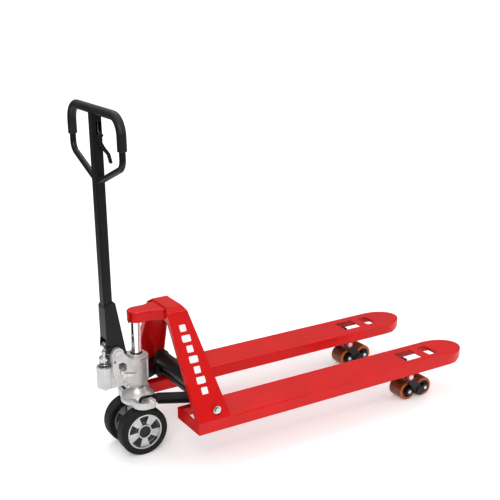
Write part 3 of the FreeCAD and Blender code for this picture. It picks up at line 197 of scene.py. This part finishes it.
class Finish:
    """A material with a Principled shader, its object coordinates and the masks that the finishes share."""

    def __init__(self, name):
        self.material = bpy.data.materials.new(name)
        self.material.use_nodes = True
        self.tree = self.material.node_tree
        self.shader = next(n for n in self.tree.nodes if n.type == "BSDF_PRINCIPLED")
        self.place = self.tree.nodes.new("ShaderNodeTexCoord")
        self.here = Socket(self.tree, self.place.outputs["Object"])

    def noise(self, scale, detail=4.0, rough=0.55, warp=0.0, stretch=(1.0, 1.0, 1.0)):
        """Fractal noise over object coordinates, squeezed by stretch."""
        at = self.here.node("ShaderNodeMapping", None, {"Vector": self.here, "Scale": stretch})
        return at.node("ShaderNodeTexNoise", None, {"Vector": at, "Scale": scale, "Detail": detail,
                                                    "Roughness": rough, "Distortion": warp})

    def cells(self, scale):
        """Distance to the nearest point of a random scatter."""
        return self.here.node("ShaderNodeTexVoronoi", None, {"Vector": self.here, "Scale": scale})

    def rounded(self, radius):
        """The normal with its edges rounded to that radius."""
        return self.here.node("ShaderNodeBevel", {"samples": 6}, {"Radius": radius})

    def edges(self, radius):
        """1 on sharp edges and 0 on flat faces: how far the rounded normal leaves the flat one."""
        flat = self.here.node("ShaderNodeNewGeometry", output="Normal")
        turn = flat.node("ShaderNodeVectorMath", {"operation": "DOT_PRODUCT"},
                         {0: flat, 1: self.rounded(radius)}, "Value")
        return (1.0 - turn).step(0.012, 0.16)

    def bump(self, height, distance, radius=0.0012, strength=1.0):
        """Relief in metres on top of softly rounded edges."""
        return self.here.node("ShaderNodeBump", None, {"Strength": strength, "Distance": distance,
                                                       "Height": height, "Normal": self.rounded(radius)})

    def set(self, **values):
        """Set or link sockets of the shader: spaces in their names are written as _."""
        for name, value in values.items():
            plug(self.tree, self.shader.inputs[name.replace("_", " ")], value)
        return self.material


def red_powder_coat(colour):
    """Glossy powder coat: orange-peel relief, faint mottling, scuffs and bare chips along the edges."""
    f = Finish("red_powder_coat")
    peel = f.noise(330.0, 2.0) * 0.7 + f.noise(90.0, 2.0) * 0.3
    mottle = f.noise(7.0, 5.0, 0.6).step(0.35, 0.7)
    scuff = f.noise(60.0, 6.0, 0.7, 0.4, (0.15, 1.0, 1.0)).step(0.60, 0.74)
    grit = f.noise(420.0, 3.0, 0.7).step(0.42, 0.64)
    chips = f.edges(0.0016) * grit * f.noise(24.0, 3.0).step(0.47, 0.62)
    deep = tuple(c * 0.88 for c in colour)
    paint = mottle.blend(deep, colour)
    f.shader.inputs["Specular IOR Level"].default_value = 0.30
    return f.set(Base_Color=chips.blend(paint, (0.10, 0.055, 0.05)), Metallic=0.0,
                 Roughness=0.30 + scuff * 0.10 + mottle * 0.05 + chips * 0.25,
                 Coat_Weight=0.24 - scuff * 0.12,
                 Coat_Roughness=0.12, IOR=1.48, Normal=f.bump(peel - chips * 0.6, 0.00028, 0.0018))


def black_powder_coat(colour):
    """Satin black powder coat with a fine grain, rubbed grey on its edges: the grey edges are partly worn
    paint and partly painted highlight lines where the edges catch light.
    """
    f = Finish("black_powder_coat")
    grain = f.noise(900.0, 3.0, 0.6)
    drift = f.noise(9.0, 4.0).step(0.3, 0.7)
    # grey along the edges: partly worn paint, partly painted highlight lines where the edges catch light
    rub = f.edges(0.0014) * f.noise(130.0, 4.0, 0.65).step(0.40, 0.62)
    dust = f.noise(38.0, 6.0, 0.7).step(0.52, 0.75)
    paint = (drift * 0.5 + dust * 0.25).blend(colour, tuple(c * 1.8 for c in colour))
    f.shader.inputs["Specular IOR Level"].default_value = 0.35
    return f.set(Base_Color=(rub * 0.45).blend(paint, (0.13, 0.128, 0.122)), Metallic=rub * 0.4,
                 Roughness=0.36 + grain * 0.10 + dust * 0.12, Coat_Weight=0.12, Coat_Roughness=0.3,
                 Normal=f.bump(grain, 0.00022, 0.0013))


def silver_casting(colour):
    """Silver paint on sand-cast iron: a pebbled skin, soft stains and brighter rubbed edges."""
    f = Finish("silver_casting")
    sand = f.noise(260.0, 5.0, 0.65) * 0.6 + f.cells(420.0) * 0.4
    stain = f.noise(22.0, 6.0, 0.62, 0.3).step(0.42, 0.72)
    grime = f.noise(75.0, 5.0, 0.7).step(0.58, 0.78)
    rub = f.edges(0.0020) * f.noise(160.0, 3.0).step(0.38, 0.6)
    paint = (stain * 0.35).blend(colour, tuple(c * 0.74 for c in colour))
    paint = (grime * 0.25).blend(paint, (0.30, 0.29, 0.28))
    return f.set(Base_Color=(rub * 0.6).blend(paint, (0.83, 0.83, 0.82)), Metallic=0.55 + rub * 0.3,
                 Roughness=0.36 + stain * 0.12 + grime * 0.12 - rub * 0.08,
                 Normal=f.bump(sand, 0.00045, 0.0024))


def plated_steel():
    """Zinc-plated and turned steel: fine lathe marks and a faint bluish cloud."""
    f = Finish("plated_steel")
    marks = f.noise(1500.0, 2.0, 0.5, 0.0, (1.0, 0.12, 1.0))
    cloud = f.noise(70.0, 4.0).step(0.35, 0.7)
    spot = f.noise(240.0, 5.0, 0.7).step(0.63, 0.76)
    skin = cloud.blend((0.66, 0.65, 0.62), (0.52, 0.54, 0.57))
    return f.set(Base_Color=(spot * 0.4).blend(skin, (0.30, 0.25, 0.20)), Metallic=1.0 - spot * 0.4,
                 Roughness=0.26 + cloud * 0.10 + spot * 0.2, Normal=f.bump(marks, 0.00006, 0.0008))


def hard_chrome():
    """Ground and chromed rod: near mirror, with a thin oil film and fine rings."""
    f = Finish("hard_chrome")
    rings = f.noise(2600.0, 2.0, 0.5, 0.0, (0.05, 0.05, 1.0))
    film = f.noise(34.0, 4.0, 0.6, 0.2, (1.0, 1.0, 0.3)).step(0.45, 0.75)
    return f.set(Base_Color=film.blend((0.83, 0.83, 0.85), (0.70, 0.69, 0.66)), Metallic=1.0,
                 Roughness=0.07 + film * 0.09, Normal=f.bump(rings, 0.00002, 0.0006))


def solid_rubber(centre):
    """Black wheel rubber: a matt grain, a paler rubbed tread and fine mould rings on its sides."""
    f = Finish("solid_rubber")
    spot = f.here.node("ShaderNodeVectorMath", {"operation": "SUBTRACT"}, {0: f.here, 1: tuple(centre)})
    radius = (spot.part("X") ** 2.0 + spot.part("Z") ** 2.0) ** 0.5
    tread = radius.step(0.0875, 0.0893)
    grain = f.noise(700.0, 4.0, 0.65)
    rings = (radius * 1250.0).maths("SINE", radius * 1250.0) * (1.0 - tread)
    dust = f.noise(45.0, 6.0, 0.7).step(0.40, 0.72)
    rubber = (dust * 0.5).blend((0.007, 0.007, 0.007), (0.020, 0.019, 0.018))
    rubber = (tread * (0.2 + dust * 0.4)).blend(rubber, (0.045, 0.042, 0.039))
    f.shader.inputs["Specular IOR Level"].default_value = 0.35
    return f.set(Base_Color=rubber, Metallic=0.0, Roughness=0.52 + dust * 0.16 + tread * 0.1,
                 Normal=f.bump(grain + rings * 0.25, 0.00020, 0.0010))


def wheel_aluminium(centre):
    """Die-cast wheel centre: a turned rim and boss, pale spokes and dark pockets behind them, the pockets
    near black as partly the hub's dark pocket paint and partly painted shade in the deep recesses.
    """
    f = Finish("wheel_aluminium")
    spot = f.here.node("ShaderNodeVectorMath", {"operation": "SUBTRACT"}, {0: f.here, 1: tuple(centre)})
    radius = (spot.part("X") ** 2.0 + spot.part("Z") ** 2.0) ** 0.5
    side = spot.part("Y").maths("ABSOLUTE", spot.part("Y"))
    spokes = radius.step(0.026, 0.029) * (1.0 - radius.step(0.0585, 0.0605))
    # near black deep in the pockets by the mid-plane: partly the hub's dark pocket paint, partly painted
    # shade in the recesses
    pocket_paint_and_shade = (1.0 - side.step(0.0035, 0.0085)) * spokes
    turned = f.noise(900.0, 2.0) * 0.3 + (radius * 5200.0).maths("SINE", radius * 5200.0) * 0.2
    cast = f.noise(300.0, 5.0, 0.65)
    face = (f.noise(30.0, 5.0, 0.6).step(0.35, 0.7)).blend((0.66, 0.67, 0.68), (0.50, 0.51, 0.52))
    rim = radius.step(0.0590, 0.0605)
    return f.set(Base_Color=(pocket_paint_and_shade * 0.93).blend(face, (0.035, 0.036, 0.038)),
                 Metallic=1.0 - pocket_paint_and_shade * 0.75,
                 Roughness=0.34 + cast * 0.14 + pocket_paint_and_shade * 0.2 - rim * 0.12,
                 Normal=f.bump(cast * (1.0 - rim) + turned * rim, 0.00025, 0.0014))


def roller_tread(colour, half_width, middle_y):
    """Cast polyurethane: orange brown, brighter at its ends and scored round its tread."""
    f = Finish("roller_tread")
    y = f.here.part("Y")
    off = (y.maths("ABSOLUTE", y) - middle_y)
    side = off.maths("ABSOLUTE", off)
    rim = side.step(half_width - 0.0045, half_width - 0.0012)
    score = f.noise(520.0, 4.0, 0.7, 0.0, (0.08, 1.0, 0.08)).step(0.5, 0.8)
    cloud = f.noise(30.0, 5.0, 0.6).step(0.3, 0.7)
    dark = tuple(c * 0.55 for c in colour)
    tread = cloud.blend(dark, colour)
    tread = (score * 0.45).blend(tread, (0.12, 0.05, 0.025))
    return f.set(Base_Color=rim.blend(tread, (0.46, 0.105, 0.014)), Metallic=0.0,
                 Roughness=0.34 + score * 0.22 + cloud * 0.06,
                 Coat_Weight=0.25 * (1.0 - score), Coat_Roughness=0.2,
                 Normal=f.bump(f.noise(380.0, 4.0) + score * 0.6, 0.00022, 0.0012))


def moulded_rubber():
    """The grip's soft rubber: pebbled, with paler rubbed places."""
    f = Finish("moulded_rubber")
    pebble = f.cells(620.0) * 0.7 + f.noise(1400.0, 2.0) * 0.3
    rub = f.noise(16.0, 5.0, 0.6).step(0.42, 0.7)
    return f.set(Base_Color=rub.blend((0.011, 0.011, 0.011), (0.022, 0.0215, 0.021)), Metallic=0.0,
                 Roughness=0.47 + rub * 0.12, Normal=f.bump(pebble, 0.00028, 0.0010))


def dark_plastic():
    """Black moulded caps and roller cores with a faint sheen."""
    f = Finish("dark_plastic")
    grain = f.noise(800.0, 3.0, 0.6)
    dust = f.noise(70.0, 5.0, 0.7).step(0.48, 0.75)
    return f.set(Base_Color=(dust * 0.6).blend((0.014, 0.014, 0.015), (0.06, 0.057, 0.053)), Metallic=0.0,
                 Roughness=0.33 + dust * 0.2, Normal=f.bump(grain, 0.00012, 0.0009))


def white_film():
    """White vinyl film with fine scratches and faint yellowed clouds."""
    f = Finish("white_film")
    scratch = f.noise(240.0, 4.0, 0.7, 0.0, (0.08, 1.0, 1.0)).step(0.62, 0.76)
    cloud = f.noise(40.0, 4.0).step(0.4, 0.7)
    film = (cloud * 0.3).blend((0.84, 0.84, 0.83), (0.74, 0.73, 0.70))
    return f.set(Base_Color=(scratch * 0.3).blend(film, (0.55, 0.40, 0.38)), Metallic=0.0,
                 Roughness=0.32 + scratch * 0.2 + cloud * 0.08, Normal=f.bump(scratch, 0.00004, 0.0005))


def floor_finish():
    """A plain pale floor that fades into the white surroundings."""
    f = Finish("studio_floor")
    cloud = f.noise(1.2, 3.0)
    spread = (f.here.part("X") ** 2.0 + f.here.part("Y") ** 2.0) ** 0.5
    f.shader.inputs["Emission Strength"].default_value = 0.22
    return f.set(Base_Color=(cloud * 0.1).blend((0.88, 0.88, 0.88), (0.85, 0.85, 0.85)), Metallic=0.0,
                 Roughness=0.8 + cloud * 0.1, Emission_Color=(1.0, 1.0, 1.0),
                 Alpha=1.0 - spread.step(1.3, 3.2))


FINISHES = {}


def make_finishes(colours):
    """Make every finish once, keyed by the record's slot or by the small part that wears it."""
    wheel = middle("steer_axle")
    low, high = corners("wheel_hub_left")
    hub_middle = (low[1] + high[1]) / 2
    roller_low, roller_high = corners("roller_tyre_rear_left")
    FINISHES.update(
        red_paint=red_powder_coat(tuple(colours.red)),
        black_paint=black_powder_coat(tuple(colours.black)),
        silver_casting=silver_casting(tuple(colours.silver)),
        zinc_steel=plated_steel(), chrome_rod=hard_chrome(),
        tyre_rubber=solid_rubber(wheel), grip_rubber=moulded_rubber(), black_hub=dark_plastic(),
        polyurethane=roller_tread(tuple(colours.tread), (roller_high[1] - roller_low[1]) / 2,
                                  (roller_high[1] + roller_low[1]) / 2),
        white_film=white_film())
    for side, sign in SIDES:
        FINISHES["aluminium_" + side] = wheel_aluminium((wheel[0], sign * hub_middle, wheel[2]))


# ---------------------------------------------------------------- surfaces
def smooth_object(name, points, faces, body, finish):
    """Make a closed mesh from arrays, give it its finish and let it ride on its body."""
    mesh = bpy.data.meshes.new(name)
    mesh.from_pydata(points.tolist(), [], faces)
    mesh.polygons.foreach_set("use_smooth", np.ones(len(mesh.polygons), dtype=bool))
    mesh.update()
    made = bpy.data.objects.new(name, mesh)
    bpy.context.scene.collection.objects.link(made)
    mesh.materials.append(FINISHES[finish])
    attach(made, body)
    return made


def tube_faces(rings, around, closed):
    """Quads between neighbouring rings of a tube, and a fan at each end unless it is closed."""
    i, j = np.meshgrid(np.arange(rings if closed else rings - 1), np.arange(around), indexing="ij")
    ring, turn = (i + 1) % rings, (j + 1) % around
    quads = np.stack([i * around + j, i * around + turn, ring * around + turn, ring * around + j], -1)
    faces = quads.reshape(-1, 4).tolist()
    if not closed:
        k = np.arange(around)
        start, end = rings * around, rings * around + 1
        first = np.stack([np.full(around, start), (k + 1) % around, k], -1)
        rim = (rings - 1) * around
        last = np.stack([np.full(around, end), rim + k, rim + (k + 1) % around], -1)
        faces += first.tolist() + last.tolist()
    return faces


def along(path, step, closed=False):
    """Points at equal steps of arc length on a run of straight lines, and their arc length."""
    path = np.asarray(path, dtype=float)
    if closed:
        path = np.vstack([path, path[:1]])
    length = np.concatenate([[0.0], np.cumsum(np.linalg.norm(np.diff(path, axis=0), axis=1))])
    count = max(8, int(round(length[-1] / step)))
    at = np.linspace(0.0, length[-1], count, endpoint=not closed)
    return np.stack([np.interp(at, length, path[:, k]) for k in range(3)], -1), at, length[-1]


def swept_tube(centre, radius, up, closed=False, around=12):
    """Rings of a tube: centre + radius (cos t side + sin t lift), side and lift square to the path."""
    if closed:
        tangent = np.roll(centre, -1, axis=0) - np.roll(centre, 1, axis=0)
    else:
        tangent = np.gradient(centre, axis=0)
    tangent /= np.linalg.norm(tangent, axis=1, keepdims=True)
    side = np.cross(tangent, np.broadcast_to(up, tangent.shape))
    side /= np.linalg.norm(side, axis=1, keepdims=True)
    lift = np.cross(tangent, side)
    t = np.linspace(0.0, 2 * math.pi, around, endpoint=False)
    wave = np.cos(t)[None, :, None] * side[:, None, :] + np.sin(t)[None, :, None] * lift[:, None, :]
    rings = centre[:, None, :] + radius[:, None, None] * wave
    points = rings.reshape(-1, 3)
    if not closed:
        points = np.vstack([points, centre[:1], centre[-1:]])
    return points, tube_faces(len(centre), around, closed)


def weld_bead(name, path, up, sizes, body, finish, closed=False, scale=1.0):
    """A bead along a path: its radius swells by a sixth at each ripple and fades out at both ends."""
    centre, at, length = along(path, sizes.bead_pitch / 6, closed)
    radius = sizes.bead_radius * scale * (0.90 + 0.14 * np.cos(2 * math.pi * at / sizes.bead_pitch))
    if not closed:
        end = np.minimum(at, length - at) / (2.0 * sizes.bead_radius)
        radius = radius * np.sqrt(np.clip(end * (2.0 - np.minimum(end, 1.0)), 0.02, 1.0))
    points, faces = swept_tube(centre, radius, np.array(up, dtype=float), closed)
    return smooth_object(name, points, faces, body, finish)


def ring_path(centre, axis_a, axis_b, count=72):
    """A circle or ellipse: centre + a cos t + b sin t."""
    t = np.linspace(0.0, 2 * math.pi, count, endpoint=False)[:, None]
    return np.asarray(centre) + np.cos(t) * np.asarray(axis_a) + np.sin(t) * np.asarray(axis_b)


def turned_piece(name, profile, base, axis, body, finish, around=32):
    """A profile of (radius, height) carried round an axis and closed at both ends, as a lathe turns it."""
    axis = np.asarray(axis, dtype=float) / np.linalg.norm(axis)
    a = np.cross(axis, [0.3, 0.5, 0.81])
    a /= np.linalg.norm(a)
    b = np.cross(axis, a)
    t = np.linspace(0.0, 2 * math.pi, around, endpoint=False)
    spoke = np.cos(t)[None, :, None] * a + np.sin(t)[None, :, None] * b
    r, h = np.asarray(profile, dtype=float).T
    rings = np.asarray(base) + r[:, None, None] * spoke + h[:, None, None] * axis
    ends = np.asarray(base) + np.outer([h[0], h[-1]], axis)
    points = np.vstack([rings.reshape(-1, 3), ends])
    faces = tube_faces(len(r), around, False)
    return smooth_object(name, points, faces, body, finish)


def film_patch(name, centre, across, down, out, size, body):
    """A thin slab with a rounded oblong outline: |u|^8 + |v|^8 = 1, its edge turned down to the face."""
    t = np.linspace(0.0, 2 * math.pi, 64, endpoint=False)
    c, s = np.cos(t), np.sin(t)
    spread = (np.abs(c) ** 8 + np.abs(s) ** 8) ** (-1 / 8)
    outline = spread[:, None] * (c[:, None] * across * size[0] / 2 + s[:, None] * down * size[1] / 2)
    shares = np.array([0.5, 0.97, 1.0, 1.0, 0.97, 0.5])
    heights = np.array([1.0, 1.0, 0.7, -0.7, -1.0, -1.0]) * size[2]
    rings = centre + shares[:, None, None] * outline + heights[:, None, None] * out
    points = np.vstack([rings.reshape(-1, 3), [centre + heights[0] * out], [centre + heights[-1] * out]])
    faces = tube_faces(len(shares), len(t), False)
    return smooth_object(name, points, faces, body, "white_film")


# ---------------------------------------------------------------- operators
class TRUCK_OT_finish_nodes(bpy.types.Operator):
    """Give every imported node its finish"""
    bl_idname = "truck.finish_nodes"
    bl_label = "Finish the packed nodes"

    def execute(self, context):
        make_finishes(context.scene.truck_colours)
        slots = {part["node"]: part["material_slot"] for part in frame["record"]["subparts"]}
        for node, made in frame["nodes"].items():
            key = "black_paint" if node == "handle_pins" else slots[node]
            if key == "aluminium":
                key = "aluminium_left" if node.endswith("left") else "aluminium_right"
            made.data.materials.clear()
            made.data.materials.append(FINISHES[key])
        return {"FINISHED"}


class TRUCK_OT_frame_welds(bpy.types.Operator):
    """Weld beads on the fork frame: leg feet, saddle folds, tongue and heel seams"""
    bl_idname = "truck.frame_welds"
    bl_label = "Frame welds"

    def execute(self, context):
        sizes = context.scene.truck_sizes
        leg_low, leg_high = corners("leg_left")
        saddle_low, saddle_high = corners("head_saddle")
        tongue_low, tongue_high = corners("head_tongue")
        heel_low, heel_high = corners("fork_heel_left")
        edge, leg_foot_inset, leg_flange = 0.004, 0.0085, 0.026
        heel_corner, heel_sink = 0.008, 0.0012
        foot_scale = 1.2
        for side, sign in SIDES:
            weld_bead("weld_leg_foot_" + side,
                      [(heel_low[0] + 0.002, sign * (leg_high[1] - leg_foot_inset), heel_high[2]),
                       (leg_high[0] - edge, sign * (leg_high[1] - leg_foot_inset), heel_high[2])],
                      (0, 0, 1), sizes, "frame", "red_paint", scale=foot_scale)
            weld_bead("weld_leg_front_" + side,
                      [(leg_high[0], sign * (leg_high[1] - 0.003), heel_high[2]),
                       (leg_high[0], sign * (leg_high[1] - leg_flange), heel_high[2])],
                      (1, 0, 0), sizes, "frame", "red_paint")
            weld_bead("weld_saddle_" + side,
                      [(saddle_low[0] + edge, sign * saddle_high[1], saddle_low[2]),
                       (saddle_high[0] - edge, sign * saddle_high[1], saddle_low[2])],
                      (0, 0, 1), sizes, "frame", "red_paint")
            weld_bead("weld_heel_" + side,
                      [(heel_high[0], sign * (heel_low[1] + heel_corner), heel_high[2] - heel_sink),
                       (heel_high[0], sign * (heel_high[1] - heel_corner), heel_high[2] - heel_sink)],
                      (0, 0, 1), sizes, "frame", "red_paint", scale=0.75)
            weld_bead("weld_tongue_side_" + side,
                      [(saddle_low[0] + 0.006, sign * tongue_high[1], tongue_low[2] + edge),
                       (saddle_low[0] + 0.012, sign * tongue_high[1], tongue_high[2] - edge)],
                      (1, 0, 0), sizes, "frame", "red_paint")
        rear = saddle_low[0] + 0.0115
        half = tongue_high[1] - 0.006
        top = tongue_high[2] + 0.0005
        weld_bead("weld_tongue_top", [(rear, -half, top), (rear, half, top)],
                  (0, 0, 1), sizes, "frame", "red_paint", scale=foot_scale)
        return {"FINISHED"}


class TRUCK_OT_rocker_welds(bpy.types.Operator):
    """Weld beads round the torsion tube where it meets its side plates"""
    bl_idname = "truck.rocker_welds"
    bl_label = "Rocker welds"

    def execute(self, context):
        sizes = context.scene.truck_sizes
        low, high = corners("torsion_tube")
        radius, plate = 0.030, 0.012
        centre_x, centre_z = low[0] + 0.028, high[2] - 0.034
        for side, sign in SIDES:
            y = sign * (high[1] - plate)
            weld_bead("weld_torsion_" + side,
                      ring_path((centre_x, y, centre_z), (radius, 0, 0), (0, 0, radius)),
                      (0, 1, 0), sizes, "rocker", "black_paint", closed=True, scale=1.2)
        return {"FINISHED"}


class TRUCK_OT_handle_welds(bpy.types.Operator):
    """Weld beads on the handle: along the bracket's top edge and round the loop's feet"""
    bl_idname = "truck.handle_welds"
    bl_label = "Handle welds"

    def execute(self, context):
        sizes = context.scene.truck_sizes
        rise = np.array(joint("pull_rod_slide")["axis"])
        ahead = np.array([rise[2], 0.0, -rise[0]])
        bracket_low, bracket_high = corners("handle_bracket")
        tube_low, tube_high = corners("handle_tube")
        foot = np.array([tube_high[0] - 0.0170, 0.0, tube_low[2]])
        half = tube_high[1]
        top = bracket_high[2] - tube_low[2]
        for side, sign in SIDES:
            y = sign * (half + 0.0022)
            edge = [foot + ahead * x + rise * (top + z) + np.array([0, y, 0])
                    for x, z in ((-0.0165, -0.0165), (-0.011, -0.0115), (0.0165, -0.0015), (0.021, -0.005))]
            weld_bead("weld_bracket_" + side, edge, (0, 1, 0), sizes, "handle", "black_paint")
            loop_low, loop_high = corners("handle_loop")
            join = foot + rise * (loop_low[2] + 0.0125 - tube_low[2]) + np.array([0, sign * half, 0])
            weld_bead("weld_loop_" + side, ring_path(join, ahead * 0.0108, rise * 0.0112), (0, 1, 0), sizes,
                      "handle", "black_paint", closed=True)
        return {"FINISHED"}


class TRUCK_OT_leg_bars(bpy.types.Operator):
    """A row of plain white bars down the outside of the right leg"""
    bl_idname = "truck.leg_bars"
    bl_label = "White bars"

    def execute(self, context):
        sizes = context.scene.truck_sizes
        low, high = corners("leg_right")
        saddle_low, saddle_high = corners("head_saddle")
        top = np.array([0.0, saddle_low[1], high[2]])
        foot = np.array([0.0, low[1], low[2]])
        slope = (foot - top) / np.linalg.norm(foot - top)
        out = np.cross(slope, [1.0, 0.0, 0.0])
        out *= np.sign(-out[1])
        run = np.linalg.norm(foot - top)
        first, leg_lean = 0.058, 0.0125
        top_x = (saddle_low[0] + saddle_high[0]) / 2
        foot_x = (saddle_low[0] + leg_lean + high[0]) / 2
        for number in range(sizes.bar_count):
            s = first + number * sizes.bar_pitch
            share = s / run
            x = top_x * (1 - share) + foot_x * share
            centre = top + slope * s + np.array([x, 0.0, 0.0])
            width = sizes.bar_width * (1.0 if number % 2 else 0.72)
            film_patch("leg_bar_%d" % (number + 1), centre, np.array([1.0, 0.0, 0.0]), slope, out,
                       (width, sizes.bar_height, 0.0003), "frame")
        return {"FINISHED"}


class TRUCK_OT_small_fittings(bpy.types.Operator):
    """The ram's wiper ring, the grease nipples and the return spring of the control lever"""
    bl_idname = "truck.small_fittings"
    bl_label = "Small fittings"

    def execute(self, context):
        sizes = context.scene.truck_sizes
        cap_low, cap_high = corners("cylinder_cap")
        bearing_low, bearing_high = corners("thrust_bearing")
        ram = middle("piston_rod")
        rod = 0.0184
        flange = (cap_high[0] - cap_low[0]) / 2
        neck = (bearing_high[0] - bearing_low[0]) / 2
        self.make_ring("ram_wiper", ram[0], cap_high[2] + 0.0002, rod + sizes.seal_width / 2,
                       sizes.seal_width / 2 - 0.0001)
        self.make_ring("cap_gasket", ram[0], cap_low[2] - 0.0004, flange - 0.0013, 0.0010)
        self.make_ring("neck_seal", ram[0], bearing_high[2] + 0.0016, neck - 0.0002, 0.0014)
        tip = 0.00005
        nipple = [(tip, 0.0), (0.0030, 0.0), (0.0034, 0.0005), (0.0034, 0.0026), (0.0030, 0.0031),
                  (0.0019, 0.0033), (0.0018, 0.0058), (0.0023, 0.0064), (0.0023, 0.0074), (0.0014, 0.0084),
                  (tip, 0.0086)]
        pivot = middle("rocker_shaft")
        for side, sign in SIDES:
            place = (pivot[0] - 0.0196, sign * 0.170, pivot[2] + 0.002)
            turned_piece("grease_nipple_rocker_" + side, nipple, place, (-1, 0, 0.1), "rocker",
                         "zinc_steel", 20)
        place = (ram[0] - 0.047, 0.0, middle("carrier_casting")[2] - 0.014)
        turned_piece("grease_nipple_carrier", nipple, place, (-1, 0, 0.05), "carrier",
                     "zinc_steel", 20)
        self.make_spring(sizes)
        return {"FINISHED"}

    def make_ring(self, name, x, z, radius, thickness):
        """A rubber ring level round the ram's axis: a circle swept along a circle."""
        path = ring_path((x, 0.0, z), (radius, 0, 0), (0, radius, 0), 96)
        points, faces = swept_tube(path, np.full(len(path), thickness), np.array([0.0, 0.0, 1.0]), True)
        smooth_object(name, points, faces, "pump", "grip_rubber")

    def make_spring(self, sizes):
        """A helix round the lever's pin: radius 5.8 mm, with its first end running off straight."""
        pin = np.array(joint("control_lever")["pos_m"])
        tube_low, tube_high = corners("handle_tube")
        turns, steps = 4.0, 160
        t = np.linspace(0.0, 2 * math.pi * turns, steps)
        radius = 0.0058
        y = tube_low[1] + 0.0040 + t / (2 * math.pi) * sizes.spring_wire * 1.15
        coil = np.stack([pin[0] + radius * np.cos(t), y, pin[2] + radius * np.sin(t)], -1)
        run = np.linspace(0.022, 0.0, 24, endpoint=False)[:, None]
        start = coil[0] + np.hstack([0 * run, 0 * run, run])
        centre = np.vstack([start, coil])
        wire = np.full(len(centre), sizes.spring_wire / 2)
        points, faces = swept_tube(centre, wire, np.array([0.0, 1.0, 0.0]), False, 8)
        smooth_object("lever_spring", points, faces, "handle", "zinc_steel")


class TRUCK_OT_stage(bpy.types.Operator):
    """A pale floor, soft lights and the camera"""
    bl_idname = "truck.stage"
    bl_label = "Stage"

    def execute(self, context):
        stage = context.scene.truck_stage
        reach = 3.4
        mesh = bpy.data.meshes.new("studio_floor")
        corner_points = [(-reach, -reach, 0), (reach, -reach, 0), (reach, reach, 0), (-reach, reach, 0)]
        mesh.from_pydata(corner_points, [], [(0, 1, 2, 3)])
        floor = bpy.data.objects.new("studio_floor", mesh)
        context.scene.collection.objects.link(floor)
        mesh.materials.append(floor_finish())
        self.add_light("key_light", (-2.6, -3.4, 3.6), stage.key_power, 2.6)
        self.add_light("fill_light", (3.4, -2.2, 2.6), stage.fill_power, 3.0)
        self.add_light("top_light", (0.2, 1.6, 3.8), stage.fill_power, 3.0)
        self.add_sky(stage)
        context.scene.view_settings.view_transform = "Standard"
        context.scene.view_settings.look = "Medium High Contrast"
        self.add_camera(stage)
        return {"FINISHED"}

    def add_sky(self, stage):
        """White where the camera looks at it; as a light, it is strong overhead and weak at the horizon."""
        world = bpy.data.worlds.new("studio")
        world.use_nodes = True
        tree = world.node_tree
        sky = tree.nodes["Background"]
        place = tree.nodes.new("ShaderNodeTexCoord")
        height = Socket(tree, place.outputs["Generated"]).part("Z").step(0.05, 0.85)
        light = height * (stage.world_strength - stage.horizon_strength) + stage.horizon_strength
        seen = light.node("ShaderNodeLightPath", output="Is Camera Ray")
        sky.inputs["Color"].default_value = (1.0, 1.0, 1.0, 1.0)
        plug(tree, sky.inputs["Strength"], seen + (1.0 - seen) * light)
        bpy.context.scene.world = world

    def add_light(self, name, place, power, size):
        light = bpy.data.lights.new(name, "AREA")
        light.energy = power
        light.size = size
        made = bpy.data.objects.new(name, light)
        made.location = place
        made.rotation_euler = (Vector((0.0, 0.0, 0.4)) - Vector(place)).to_track_quat("-Z", "Y").to_euler()
        bpy.context.scene.collection.objects.link(made)

    def add_camera(self, stage):
        camera = bpy.data.cameras.new("camera")
        camera.lens = stage.lens
        camera.shift_x = 0.0324
        camera.shift_y = 0.0104
        camera.clip_end = 60.0
        made = bpy.data.objects.new("camera", camera)
        axis_x = middle("piston_rod")[0]
        yaw, pitch, roll = (math.radians(angle) for angle in (59.1, -17.2, -0.3))
        aim = Vector((math.cos(yaw) * math.cos(pitch), math.sin(yaw) * math.cos(pitch), math.sin(pitch)))
        turn = aim.to_track_quat("-Z", "Y").to_matrix().to_4x4() @ Matrix.Rotation(roll, 4, "Z")
        made.matrix_world = Matrix.Translation((axis_x - 1.2743, -2.8069, 1.6706)) @ turn
        bpy.context.scene.collection.objects.link(made)
        bpy.context.scene.camera = made


STEPS = (TRUCK_OT_finish_nodes, TRUCK_OT_frame_welds, TRUCK_OT_rocker_welds, TRUCK_OT_handle_welds,
         TRUCK_OT_leg_bars, TRUCK_OT_small_fittings, TRUCK_OT_stage)


class TRUCK_PT_panel(bpy.types.Panel):
    """Lists the sizes, the colours and the steps"""
    bl_idname = "TRUCK_PT_panel"
    bl_label = "Hand pallet truck"
    bl_space_type = "VIEW_3D"
    bl_region_type = "UI"
    bl_category = "Truck"

    def draw(self, context):
        for group in (context.scene.truck_sizes, context.scene.truck_colours, context.scene.truck_stage):
            for name in group.__annotations__:
                self.layout.prop(group, name)
        for step in STEPS:
            self.layout.operator(step.bl_idname)


CLASSES = (TruckSizes, TruckColours, TruckStage, *STEPS, TRUCK_PT_panel)


def register():
    for cls in CLASSES:
        bpy.utils.register_class(cls)
    bpy.types.Scene.truck_sizes = bpy.props.PointerProperty(type=TruckSizes)
    bpy.types.Scene.truck_colours = bpy.props.PointerProperty(type=TruckColours)
    bpy.types.Scene.truck_stage = bpy.props.PointerProperty(type=TruckStage)


def unregister():
    del bpy.types.Scene.truck_stage
    del bpy.types.Scene.truck_colours
    del bpy.types.Scene.truck_sizes
    for cls in reversed(CLASSES):
        bpy.utils.unregister_class(cls)


def main():
    register()
    bpy.ops.truck.finish_nodes()
    bpy.ops.truck.frame_welds()
    bpy.ops.truck.rocker_welds()
    bpy.ops.truck.handle_welds()
    bpy.ops.truck.leg_bars()
    bpy.ops.truck.small_fittings()
    bpy.ops.truck.stage()


if __name__ == "__main__":
    main()
